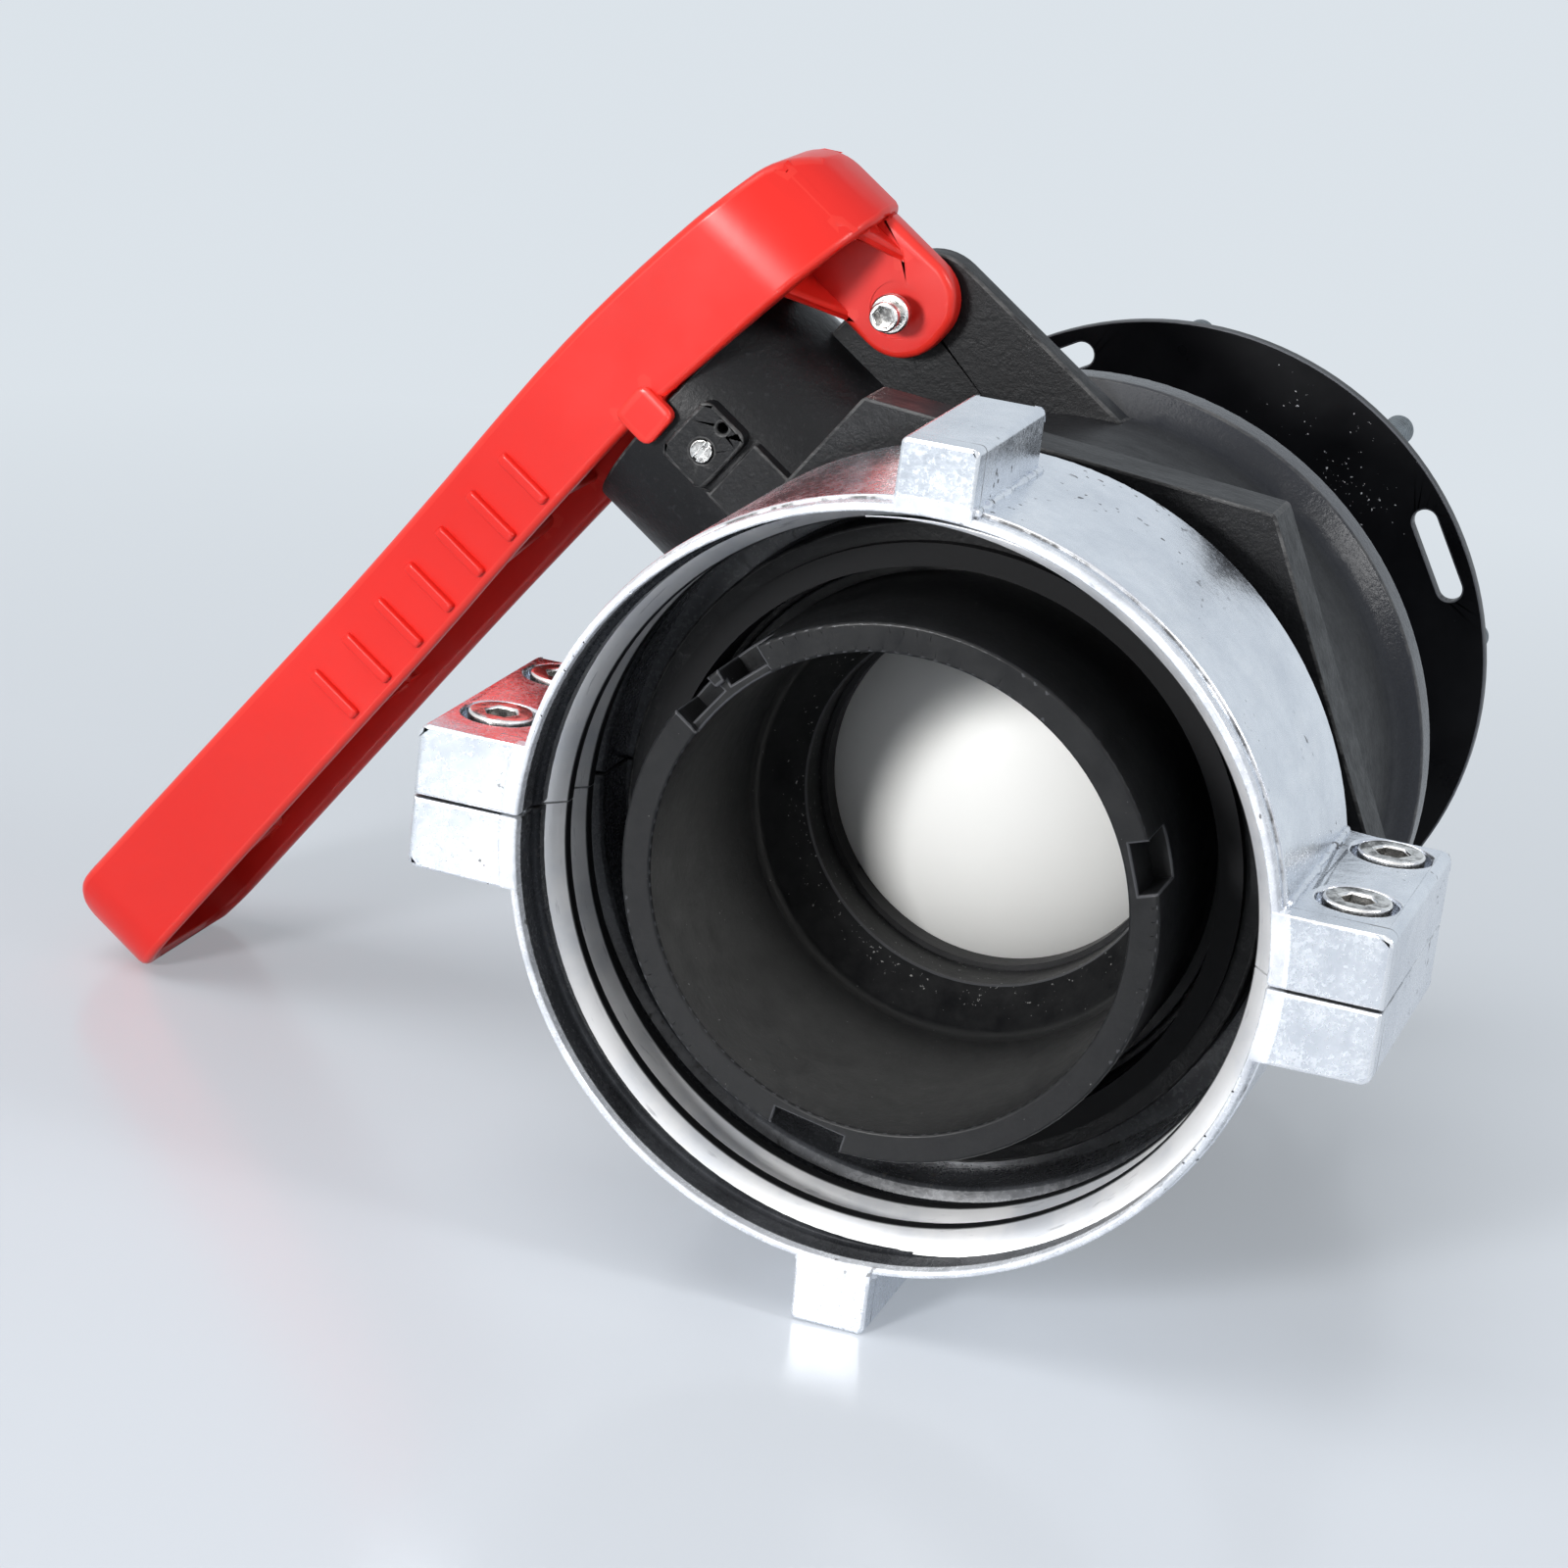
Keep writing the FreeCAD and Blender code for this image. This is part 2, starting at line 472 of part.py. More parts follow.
lever_solid = fuse("lever_solid", cut("lever_shell", outer, hollow), tab, stop, *gussets)
lever_solid.Refine = False
SQUARE = "stem_square + 2 * run_play"
lever_cut = cut(
    "lever_cut", lever_solid,
         box("square_hole", f"-({SQUARE}) / 2", f"stem_station - ({SQUARE}) / 2",
             "stem_shoulder - overcut", SQUARE, SQUARE,
             "stem_top + free_play - stem_shoulder + overcut"),
         post("lever_screw_hole", "screw_radius + screw_play", "0", "stem_station",
              "stem_shoulder", "lever_screw_long"),
         post("lever_dish_tool", "dish_radius", "0", "stem_station", "lever_dish",
              "lever_screw_long"),
         post("lock_hole", "lock_radius + slide_play", "lock_x", "tab_front - overcut",
              "lock_z", "tab_thick + 2 * overcut", LYING),
         post("lock_recess", "lock_recess", "lock_x", "tab_front - overcut", "lock_z",
              "overcut + lock_recess_play", LYING),
         post("neck_room", "neck_radius + free_play - run_play", "0", "stem_station",
              "neck_foot", "neck_top + free_play - neck_foot"))
lever_cut.Refine = False
node(lever_cut, "lever")
node(cut("lever_washer_cut",
         post("lever_washer_disc", "washer_radius", "0", "stem_station", "lever_dish",
              "washer_thick"),
         post("lever_washer_hole", "screw_radius + screw_play", "0", "stem_station",
              "lever_dish", "washer_thick")), "lever_washer")
HEAD_SEAT = "lever_dish + washer_thick"
node(cut("lever_screw_cut",
         fuse("lever_screw_solid",
              post("lever_screw_cap", "screw_head_radius", "0", "stem_station", HEAD_SEAT,
                   "lever_screw_head"),
              post("lever_screw_shank", "screw_radius", "0", "stem_station",
                   f"{HEAD_SEAT} - lever_screw_long", "lever_screw_long")),
         hexagon("lever_socket", "socket_corner", "0", "stem_station",
                 f"{HEAD_SEAT} + lever_screw_head - socket_deep", "socket_deep")),
     "lever_screw")

# Lock screw, drawn back until its tip is clear of the lock plate, and the neck's small screw
node(cut("lock_screw_cut",
         fuse("lock_screw_solid",
              post("lock_collar", "lock_head_radius", "lock_x", "lock_seat - lock_collar",
                   "lock_z", "lock_collar", LYING),
              post("lock_cap", "lock_cap_radius", "lock_x", "lock_seat - lock_head", "lock_z",
                   "lock_head", LYING),
              post("lock_shank", "lock_radius", "lock_x", "lock_seat", "lock_z",
                   "lock_tip - lock_seat", LYING)),
         hexagon("lock_socket_tool", "lock_socket", "lock_x", "lock_seat - lock_head",
                 "lock_z", "socket_deep", LYING)), "lock_screw")
node(cut("neck_screw_cut",
         post("neck_screw_pin", "neck_screw_radius", "neck_screw_x",
              "pad_front - neck_screw_out", "neck_screw_z", "neck_screw_long", LYING),
         box("neck_slot", "neck_screw_x - neck_screw_radius",
             "pad_front - neck_screw_out", "neck_screw_z - neck_slot_wide / 2",
             "2 * neck_screw_radius", "neck_slot_deep", "neck_slot_wide")), "neck_screw")

# Union nut, built upright and then clocked on its own
NUT_ROLL = "nut_tilt"
RIM_RADIUS = "nut_radius - rim_step"
LUGS = [("-lug_half", "-lug_top"), ("lug_half", "-lug_top"), ("lug_half", "lug_top"),
        ("-lug_half", "lug_top")]
EARS = [("-ear_reach", "-ear_half"), ("ear_reach", "-ear_half"), ("ear_reach", "ear_half"),
        ("-ear_reach", "ear_half")]
nut_blank = fuse(
    "nut_blank",
    turned("nut_drum", [
        ("0", "0"), (RIM_RADIUS, "0"), (RIM_RADIUS, "rim_band"), ("nut_radius", "rim_band"),
        ("nut_radius", "nut_length"), ("0", "nut_length")],
        ("nut_round", [(RIM_RADIUS, "0"), ("nut_radius", "nut_length")])),
    padded("lugs", LUGS, "XZ", "lug_length", "-lug_length / 2", [("lug_round", LUGS)]),
    padded("ears", EARS, "XZ", "ear_length", "-ear_length / 2", [("ear_round", EARS)]))
NUT_RUN = "spigot_radius + nut_play"
nut_cavity = turned("nut_cavity", [
    ("0", "-overcut"), ("rim_inner", "-overcut"), ("rim_inner", "rim_deep"),
    ("thread_root", "rim_deep + 1"), ("thread_root", "thread_end"),
    ("nut_room", "thread_end + 1"), ("nut_room", "nut_web_front"), (NUT_RUN, "nut_web_front"),
    (NUT_RUN, "nut_length + overcut"), ("0", "nut_length + overcut")])
SPOTS = [(x, station) for x in ("screw_x", "-screw_x")
         for station in ("screw_front", "screw_front + screw_pitch")]
SINK = "ear_half - screw_sink"
holes = []
for index, (x, station) in enumerate(SPOTS):
    holes += [post(f"clamp_hole_{index}", "screw_radius + screw_play", x, station,
                   "-ear_half - overcut", "2 * (ear_half + overcut)"),
              post(f"clamp_sink_{index}", "screw_head_radius + sink_play", x, station, SINK,
                   "screw_sink + overcut"),
              hexagon(f"clamp_pocket_{index}", "hex_nut_corner + hex_nut_play", x, station,
                      "-ear_half - overcut", "hex_nut_thick + overcut")]
nut_whole = cut("nut_whole", nut_blank, nut_cavity, *holes)
for side, floor in (("upper", "split_gap / 2"), ("lower", "-split_gap / 2 - 2 * ear_reach")):
    room = box(side + "_room", "-2 * ear_reach", "-overcut", floor, "4 * ear_reach",
               "nut_length + 2 * overcut", "2 * ear_reach")
    node(common(f"nut_{side}", nut_whole, room), f"nut_{side}_half", NUT_ROLL)
for index, (x, station) in enumerate(SPOTS):
    head = post(f"clamp_cap_{index}", "screw_head_radius", x, station, SINK, "screw_head")
    shank = post(f"clamp_shank_{index}", "screw_radius", x, station, f"{SINK} - screw_length",
                 "screw_length")
    socket = hexagon(f"clamp_socket_{index}", "socket_corner", x, station,
                     f"{SINK} + screw_head - socket_deep", "socket_deep")
    node(cut(f"clamp_screw_cut_{index}", fuse(f"clamp_solid_{index}", head, shank), socket),
         f"clamp_screw_{index + 1}", NUT_ROLL)
    blank = hexagon(f"clamp_nut_blank_{index}", "hex_nut_corner", x, station, "-ear_half",
                    "hex_nut_thick")
    bore = post(f"clamp_nut_bore_{index}", "screw_radius + thread_play", x, station,
                "-ear_half - overcut", "hex_nut_thick + 2 * overcut")
    node(cut(f"clamp_nut_cut_{index}", blank, bore), f"clamp_nut_{index + 1}", NUT_ROLL)
SLIP_BORE = "spigot_radius + far_play"
SLIP_EDGE = "collar_radius + far_play"
node(turned("slip_ring_body", [
    (SLIP_BORE, "nut_web_front - slip_thick"), (SLIP_EDGE, "nut_web_front - slip_thick"),
    (SLIP_EDGE, "nut_web_front"), (SLIP_BORE, "nut_web_front")]), "slip_ring", NUT_ROLL)
node(turned("mouth_gasket_body", [
    ("collar_bore + run_play", "collar_front - gasket_thick"),
    ("collar_bore + gasket_wide", "collar_front - gasket_thick"),
    ("collar_bore + gasket_wide", "collar_front"), ("collar_bore + run_play", "collar_front")]),
    "mouth_gasket")

# Tank side: adapter, seals, loose ring and its studs
TAPER_END = "body_rear + adapter_taper"
TAIL_FACE = "tail_radius - tail_chamfer"
GROOVE_IN, GROOVE_OUT = "tail_seal_radius - tail_groove_half", "tail_seal_radius + tail_groove_half"
node(turned("adapter_body", [
    ("port_radius", "body_rear"), (GROOVE_IN, "body_rear"),
    (GROOVE_IN, "body_rear + 2 * tail_seal"), (GROOVE_OUT, "body_rear + 2 * tail_seal"),
    (GROOVE_OUT, "body_rear"), (TAIL_FACE, "body_rear"),
    (TAIL_FACE, f"{TAPER_END} - adapter_taper / 2"), ("adapter_radius", TAPER_END),
    ("adapter_radius", "adapter_lip_front"), ("adapter_lip_radius", "adapter_lip_front"),
    ("adapter_lip_radius", "adapter_rear"), ("adapter_bore", "adapter_rear"),
    ("adapter_bore", f"{TAPER_END} + tail_groove_half * 2"),
    ("port_radius", f"{TAPER_END} - tail_groove_half * 2")]), "tail_adapter")
node(ring_seal("tail_seal", "tail_seal_radius", "tail_seal", "body_rear + tail_seal"),
     "tail_o_ring")
node(turned("tank_gasket_body", [
    ("adapter_bore + 1", "adapter_rear"), ("adapter_lip_radius - 1", "adapter_rear"),
    ("adapter_lip_radius - 1", "seal_face"), ("adapter_bore + 1", "seal_face")]),
    "tank_gasket")
RING_BORE = "adapter_radius + ring_play"
RING_REAR = "ring_front + ring_thick"
ring_blank = turned("ring_blank", [
    (RING_BORE, "ring_front"), ("ring_radius", "ring_front"), ("ring_radius", RING_REAR),
    (RING_BORE, RING_REAR)])
slots = []
for index in range(4):
    clock = f"-slot_clock - {90 * index}"
    slots.append(box(f"slot_bar_{index}", "slot_circle - slot_half", "ring_front - overcut",
                     "-slot_reach", "2 * slot_half", "ring_thick + 2 * overcut",
                     "2 * slot_reach", clock=clock))
    slots += [post(f"slot_end_{index}_{side}", "slot_half", "slot_circle",
                   "ring_front - overcut", reach, "ring_thick + 2 * overcut", LYING, clock)
              for side, reach in (("low", "-slot_reach"), ("high", "slot_reach"))]
RING_ROLL = "-lean - ring_clock"
node(cut("ring_cut", ring_blank, *slots), "flange_ring", RING_ROLL)
for index in range(8):
    stud = fuse(f"stud_solid_{index}",
                post(f"stud_foot_{index}", "stud_foot_radius", "stud_circle", RING_REAR, "0",
                     "stud_foot", LYING),
                post(f"stud_pin_{index}", "stud_radius", "stud_circle", RING_REAR, "0",
                     f"stud_tip - stud_chamfer - ({RING_REAR})", LYING),
                put(made("Part::Cone", f"stud_tip_{index}", Radius1="stud_radius",
                         Radius2="stud_radius - stud_chamfer", Height="stud_chamfer"),
                    "stud_circle", "stud_tip - stud_chamfer", "0", LYING))
    node(stud, f"stud_{index + 1}", f"{RING_ROLL} - {45 * index}")

doc.recompute()

# Check every feature, then write one file per piece
faults = [o.Label for o in doc.Objects if "Invalid" in o.State or "Error" in o.State]
if faults:
    raise RuntimeError("features that did not build: " + ", ".join(faults))
for name, obj in NODES:
    shape = obj.Shape
    if shape.isNull() or not shape.isValid() or not shape.Solids:
        raise RuntimeError("no valid solid in " + name)
    shape.exportStep(f"parts/{name}.step")
    b = shape.BoundBox
    print(f"{name:18s} solids {len(shape.Solids)} volume {shape.Volume:9.0f} "
          f"x {b.XMin:7.1f} {b.XMax:7.1f} y {b.YMin:7.1f} {b.YMax:7.1f} z {b.ZMin:7.1f} {b.ZMax:7.1f}")
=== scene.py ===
"""Looks of the tank valve: die-cast split union nut, red lever, black body and a pale studio.

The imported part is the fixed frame. Each group of pieces has its own operator, and the
sizes and colours that a user would change are properties of the scene.
"""

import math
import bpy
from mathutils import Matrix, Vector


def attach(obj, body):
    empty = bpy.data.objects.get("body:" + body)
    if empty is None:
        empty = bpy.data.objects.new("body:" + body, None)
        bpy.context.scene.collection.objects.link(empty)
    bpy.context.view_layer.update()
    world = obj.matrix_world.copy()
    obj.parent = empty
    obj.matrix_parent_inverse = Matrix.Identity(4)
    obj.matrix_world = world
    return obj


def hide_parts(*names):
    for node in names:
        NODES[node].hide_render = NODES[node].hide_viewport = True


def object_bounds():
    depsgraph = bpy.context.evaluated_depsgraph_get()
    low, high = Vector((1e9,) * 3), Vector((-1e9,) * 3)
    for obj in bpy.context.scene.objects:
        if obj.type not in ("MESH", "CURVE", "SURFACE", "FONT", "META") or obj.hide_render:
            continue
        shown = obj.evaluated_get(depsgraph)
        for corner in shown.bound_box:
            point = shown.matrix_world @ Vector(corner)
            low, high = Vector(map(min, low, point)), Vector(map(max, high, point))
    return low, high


bl_info = {
    "name": "Tank Valve Looks",
    "version": (1, 0, 0),
    "blender": (4, 5, 0),
    "location": "View3D > Sidebar > Valve",
    "description": "Dresses the split-nut tank valve and sets its studio",
    "category": "Object",
}

import bmesh
import bpy
from bpy.props import FloatProperty, FloatVectorProperty, IntProperty, PointerProperty
from mathutils import Matrix, Vector
from mathutils.bvhtree import BVHTree
from mathutils.kdtree import KDTree

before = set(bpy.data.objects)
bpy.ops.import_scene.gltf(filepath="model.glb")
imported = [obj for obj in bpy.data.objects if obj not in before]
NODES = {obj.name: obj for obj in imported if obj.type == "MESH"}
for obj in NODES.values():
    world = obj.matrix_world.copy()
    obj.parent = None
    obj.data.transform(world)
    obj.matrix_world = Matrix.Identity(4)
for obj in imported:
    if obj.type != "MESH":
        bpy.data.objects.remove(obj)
CAD_LOW, CAD_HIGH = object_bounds()

# Places on the valve before its roll: x to the right, y from mouth to tank, z along the stem
MM = 0.001
MOUTH = -0.169  # station of the mouth face in the row frame
VALVE_ROLL = math.radians(-53.7)  # the stem leans over to the left as the valve lies
LEAN = Matrix.Rotation(VALVE_ROLL, 3, "Y")
STAND = Matrix.Rotation(-VALVE_ROLL, 3, "Y")
NUT_ROLL = math.radians(1.2)  # the nut's seam is a little off level
NUT_TURN = Matrix.Rotation(NUT_ROLL, 4, "Y")
RIM_WALL = 57.0 * MM  # radius just past the rim's inner wall
NUT_DRUM = 58.7 * MM  # radius of the nut outside
RIM_BAND = 3.6 * MM  # depth of the nut's front band
LIP_DEPTH = 1.9 * MM  # depth of the bright lip round the mouth
SPLIT_HALF = 0.15 * MM  # half of the gap between the nut's halves
BESIDE_LUG = 5.9 * MM  # where flash runs, from the middle of a lug
LUG_SPAN = (1.5 * MM, 34.1 * MM)  # first and last station of that flash
BESIDE_EAR = 11.3 * MM
EAR_SPAN = (4.5 * MM, 44.0 * MM)
FIRST_RIB = Vector((-23.5 * MM, MOUTH + 50.0 * MM, 90.3 * MM))  # in front of the lever's wall
LAST_RIB = Vector((-78.5 * MM, MOUTH + 50.0 * MM, 90.9 * MM))
LOCK_SPOT = (36.2 * MM, 66.0 * MM)  # lock screw, beside and above the flow axis
LOCK_SEAT = 5.0 * MM  # radius of the shallow seat round it
HUB_CORNER = 18.9 * MM  # just under the lever hub's rounded corner
HUB_MIDDLE = (28.2 * MM, MOUTH + 86.0 * MM)
GUSSET_SPAN = (13.0 * MM, 16.2 * MM)  # where the right gusset meets that corner
BEHIND_STEM = MOUTH + 92.0 * MM  # the body is painted a greyer black from here, a painted sheen
BEHIND_BARREL = MOUTH + 94.0 * MM  # and smoother from here
DUSTY_SPOT = (30.0 * MM, -8.5 * MM, 44.0 * MM)  # middle of the dust on the ring, as it lies

# How edges are rounded, as shares of the round's width where no unit is given
SHARP_EDGE = math.radians(38.0)  # edges that turn by less aren't rounded
SAME_POINT = 0.002 * MM
ON_SURFACE = 0.01 * MM
FARTHEST = 0.6  # a rounded point farther from the old faces is drawn back
CORNER_NEAR = 0.12  # a point this near to an old edge's end was left behind
CORNER_PROUD = 0.25  # where it also stands this far out of its neighbours

# Studio, in metres
KEY_FROM = (-0.28, -0.22, 1.0)  # direction that the distant lamp shines from
KEY_ANGLE = math.radians(40.0)  # how large it looks
FRONT_SPOT = (-0.31, -1.00, 0.26)
FRONT_AIM = (0.0, -0.10, 0.0)
FRONT_SIZE = 0.16
SIDE_SPOT = (0.75, -0.22, 0.56)
SIDE_AIM = (0.0, -0.08, 0.0)
SIDE_SIZE = 0.30
LAMP_SPREAD = math.radians(70.0)
ROOM_FRONT = Vector((-0.45, -0.85, 0.25))  # the room is brightest in this direction
SWEEP_SIDE = 6.0  # from the middle to either side
SWEEP_NEAR = -6.0
SWEEP_FAR = 2.2  # where the floor begins to curve up
SWEEP_CURVE = 0.8  # radius of that curve
SWEEP_TOP = 3.0
CURVE_STEPS = 12

# Camera, found from the nut's rim, the ring and the studs in the photograph
PHOTO_WIDTH = 1600
FOCAL_PIXELS = 4277.66
SENSOR_WIDTH = 36.0
CAMERA_TURN = Vector((1.8415888, 0.3782371, -0.1402763))  # axis times angle
CAMERA_SHIFT = Vector((69.273705, -26.605853, 756.241972)) * MM


# Properties
def length(name, text, millimetres):
    """A length that the sidebar shows in the scene's units."""
    return FloatProperty(name=name, description=text, default=millimetres * MM,
                         unit="LENGTH", precision=5)


def shade(name, text, *tone):
    """A colour, as linear red, green and blue."""
    return FloatVectorProperty(name=name, description=text, default=tone, subtype="COLOR", size=3)


class ValveColours(bpy.types.PropertyGroup):
    lever: shade("Lever", "Red of the moulded lever", 0.68, 0.015, 0.009)
    casting: shade("Casting", "Skin of the cast nut", 0.84, 0.87, 0.92)
    casting_light: shade("Light casting", "Flow marks on the nut", 0.95, 0.96, 0.98)
    casting_dull: shade("Dull casting", "Mottling of the nut", 0.68, 0.715, 0.775)
    body: shade("Body", "Black of the moulded body", 0.006, 0.0063, 0.0072)
    # painted sheen: the back of the body is coloured greyer where light catches it
    body_back_sheen: shade("Body back", "Greyer black behind the stem", 0.046, 0.050, 0.060)
    ball: shade("Ball", "White of the ball", 0.94, 0.94, 0.915)
    seat: shade("Seats", "Black of the ball's seats", 0.020, 0.020, 0.021)
    seal: shade("Seals", "Black of the O-rings", 0.014, 0.014, 0.015)
    gasket: shade("Gaskets", "Black of the flat gaskets", 0.008, 0.0082, 0.009)
    steel: shade("Steel", "Plated screws", 0.72, 0.71, 0.69)
    stud: shade("Studs", "Grey of the flange studs", 0.13, 0.155, 0.17)
    backdrop: shade("Backdrop", "Pale tone far from the valve", 0.715, 0.77, 0.82)
    floor: shade("Floor", "Pale sweep under the valve", 0.60, 0.63, 0.68)


class ThreadSizes(bpy.types.PropertyGroup):
    start: length("Start", "Station where the first flank rises", 1.3)
    lead: length("Lead", "Advance for each turn", 8.5)
    turns: FloatProperty(name="Turns", description="Number of turns", default=2.25, min=0.1)
    wall: length("Wall", "Radius of the wall between the turns", 56.0)
    depth: length("Depth", "Height of the thread above its wall", 2.5)
    flank: length("Flank", "Length of the sloping front flank", 4.2)
    land: length("Land", "Width of the crest", 1.9)
    clock: FloatProperty(name="Clock", description="Angle where the thread starts",
                         default=math.radians(99.0), subtype="ANGLE")
    fade: FloatProperty(name="Fade", description="Share of the thread that rises at its start",
                        default=0.07, min=0.0, max=0.5, subtype="FACTOR")


class GripSizes(bpy.types.PropertyGroup):
    width: length("Rib width", "Across one grip rib", 2.0)
    height: length("Rib height", "Along one grip rib", 10.5)
    proud: length("Rib depth", "How far a rib stands out", 1.1)
    count: IntProperty(name="Ribs", description="Number of grip ribs", default=7, min=1)


class BeadSizes(bpy.types.PropertyGroup):
    radius: length("Bead", "Radius of the flash at the feet of the lugs", 0.75)
    rough: length("Unevenness", "How far the flash wanders", 0.8)


class EdgeSizes(bpy.types.PropertyGroup):
    casting: length("Casting", "Round on the nut's edges", 0.6)
    lever: length("Lever", "Round on the lever's edges", 1.3)
    body: length("Body", "Round on the body's edges", 0.5)
    carrier: length("Seat carrier", "Round on the black tube's edges", 0.35)
    ball: length("Ball", "Round on the edges of the ball's bore and slot", 0.6)
    screw: length("Screws", "Round on the clamp screws and the lever's screw", 0.4)
    hex_nut: length("Hex nuts", "Round on the clamp nuts", 0.3)
    washer: length("Washer", "Round on the lever's washer", 0.2)
    lock_screw: length("Lock screw", "Round on the lock screw", 0.35)
    neck_screw: length("Neck screw", "Round on the slotted neck screw", 0.15)
    ring: length("Ring", "Round on the tank ring's edges", 0.3)


class StudioSizes(bpy.types.PropertyGroup):
    sun: FloatProperty(name="Key", description="Strength of the distant soft lamp",
                       default=1.15, min=0.0)
    front: FloatProperty(name="Front lamp", description="Power of the lamp beside the camera",
                         default=1.2, min=0.0, unit="POWER")
    side: FloatProperty(name="Side lamp", description="Power of the lamp at the right",
                        default=0.5, min=0.0, unit="POWER")
    sky: FloatProperty(name="Room light", description="Strength of the pale surroundings",
                       default=0.36, min=0.0)


# Node helpers
def add(tree, kind, values=None, **settings):
    """One node with its settings; a socket's value is a plain value or another socket."""
    node = tree.nodes.new(kind)
    for name, value in settings.items():
        setattr(node, name, value)
    for socket, value in (values or {}).items():
        if isinstance(value, bpy.types.NodeSocket):
            tree.links.new(value, node.inputs[socket])
        else:
            node.inputs[socket].default_value = value
    return node


def sums(tree, kind, first, second=0.0):
    """Arithmetic on one or two values, each a number or a socket."""
    return add(tree, "ShaderNodeMath", {0: first, 1: second}, operation=kind).outputs[0]


def vectors(tree, kind, first, second=(0.0, 0.0, 0.0)):
    """Arithmetic on vectors; SCALE takes a plain value second, and some kinds give one."""
    socket = "Scale" if kind == "SCALE" else 1
    node = add(tree, "ShaderNodeVectorMath", {0: first, socket: second}, operation=kind)
    gives_value = kind in ("DISTANCE", "DOT_PRODUCT", "LENGTH")
    return node.outputs["Value" if gives_value else "Vector"]


def grain(tree, place, scale, detail=4.0, rough=0.6, stretch=(1.0, 1.0, 1.0), shift=0.0):
    """Noise on the piece's own coordinates; scale is features to the metre."""
    spot = add(tree, "ShaderNodeMapping", {
        "Vector": place, "Scale": stretch, "Location": (shift, shift, shift)})
    return add(tree, "ShaderNodeTexNoise", {
        "Vector": spot.outputs["Vector"], "Scale": scale, "Detail": detail,
        "Roughness": rough}).outputs["Fac"]


def ramp(tree, fac, low, high, start=0.0, end=1.0):
    """A value or colour that runs from low to high while fac runs from start to end."""
    if hasattr(low, "__len__"):
        return tint(tree, ramp(tree, fac, 0.0, 1.0, start, end), low, high)
    return add(tree, "ShaderNodeMapRange", {
        "Value": fac, "From Min": start, "From Max": end, "To Min": low,
        "To Max": high}).outputs["Result"]


def tint(tree, fac, under, over):
    """Colour under with colour over laid on it by fac; either may be a socket."""
    values = {0: fac}
    for slot, colour in ((6, under), (7, over)):
        values[slot] = colour if isinstance(colour, bpy.types.NodeSocket) else (*colour[:3], 1.0)
    return add(tree, "ShaderNodeMix", values, data_type="RGBA").outputs[2]


def times(colour, factor):
    """A colour made darker or lighter, and no lighter than white."""
    return [min(1.0, factor * part) for part in colour]


def band(tree, value, middle, half, soft):
    """Mask that is 1 within half of the middle and fades out over soft."""
    away = sums(tree, "ABSOLUTE", sums(tree, "SUBTRACT", value, middle))
    return ramp(tree, away, 1.0, 0.0, half, half + soft)


def product(tree, first, second):
    """Two values multiplied; for two masks, where they meet."""
    return sums(tree, "MULTIPLY", first, second)


def pale_rays(tree):
    """Mask of the rays that show the pale background: camera, glossy and transmission rays."""
    path = add(tree, "ShaderNodeLightPath").outputs
    seen = sums(tree, "MAXIMUM", path["Is Camera Ray"], path["Is Glossy Ray"])
    return sums(tree, "MAXIMUM", seen, path["Is Transmission Ray"])


# Finishes
def new_finish(name, roughness, metallic=0.0, **plain):
    """A material with one shader; returns it with its tree, shader and own coordinates."""
    finish = bpy.data.materials.new(name)
    finish.use_nodes = True
    tree = finish.node_tree
    tree.nodes.clear()
    shader = add(tree, "ShaderNodeBsdfPrincipled", {"Roughness": roughness, "Metallic": metallic})
    for socket, value in plain.items():
        shader.inputs[socket.replace("_", " ")].default_value = value
    output = add(tree, "ShaderNodeOutputMaterial")
    tree.links.new(shader.outputs["BSDF"], output.inputs["Surface"])
    place = add(tree, "ShaderNodeTexCoord").outputs["Object"]
    return finish, tree, shader, place


def coat(tree, shader, skin, rough, *layers):
    """Give a shader its colour and roughness, and layers of bump: height, strength and depth."""
    tree.links.new(skin, shader.inputs["Base Color"])
    if rough is not None:
        tree.links.new(rough, shader.inputs["Roughness"])
    normal = None
    for height, strength, depth in layers:
        values = {"Height": height, "Strength": strength, "Distance": depth}
        if normal is not None:
            values["Normal"] = normal
        normal = add(tree, "ShaderNodeBump", values).outputs["Normal"]
    tree.links.new(normal, shader.inputs["Normal"])


def edge_wear_and_sheen(tree, share=1.0):
    """Mask of the rounded edge faces, which softened() marks on each form."""
    wear_and_sheen = add(tree, "ShaderNodeAttribute", attribute_name="wear_and_sheen").outputs["Fac"]
    return product(tree, wear_and_sheen, share)


def axis_distance(tree, place):
    """Distance from the flow axis, on a piece's own coordinates."""
    return vectors(tree, "LENGTH", vectors(tree, "MULTIPLY", place, (1.0, 0.0, 1.0)))


def nut_coordinates(tree, place):
    """Station from the mouth and height above the seam, on the clocked nut."""
    upright = add(tree, "ShaderNodeVectorRotate", {
        "Vector": place, "Axis": (0.0, 1.0, 0.0), "Angle": -NUT_ROLL}).outputs["Vector"]
    parts = add(tree, "ShaderNodeSeparateXYZ", {"Vector": upright})
    return sums(tree, "SUBTRACT", parts.outputs["Y"], MOUTH), parts.outputs["Z"]


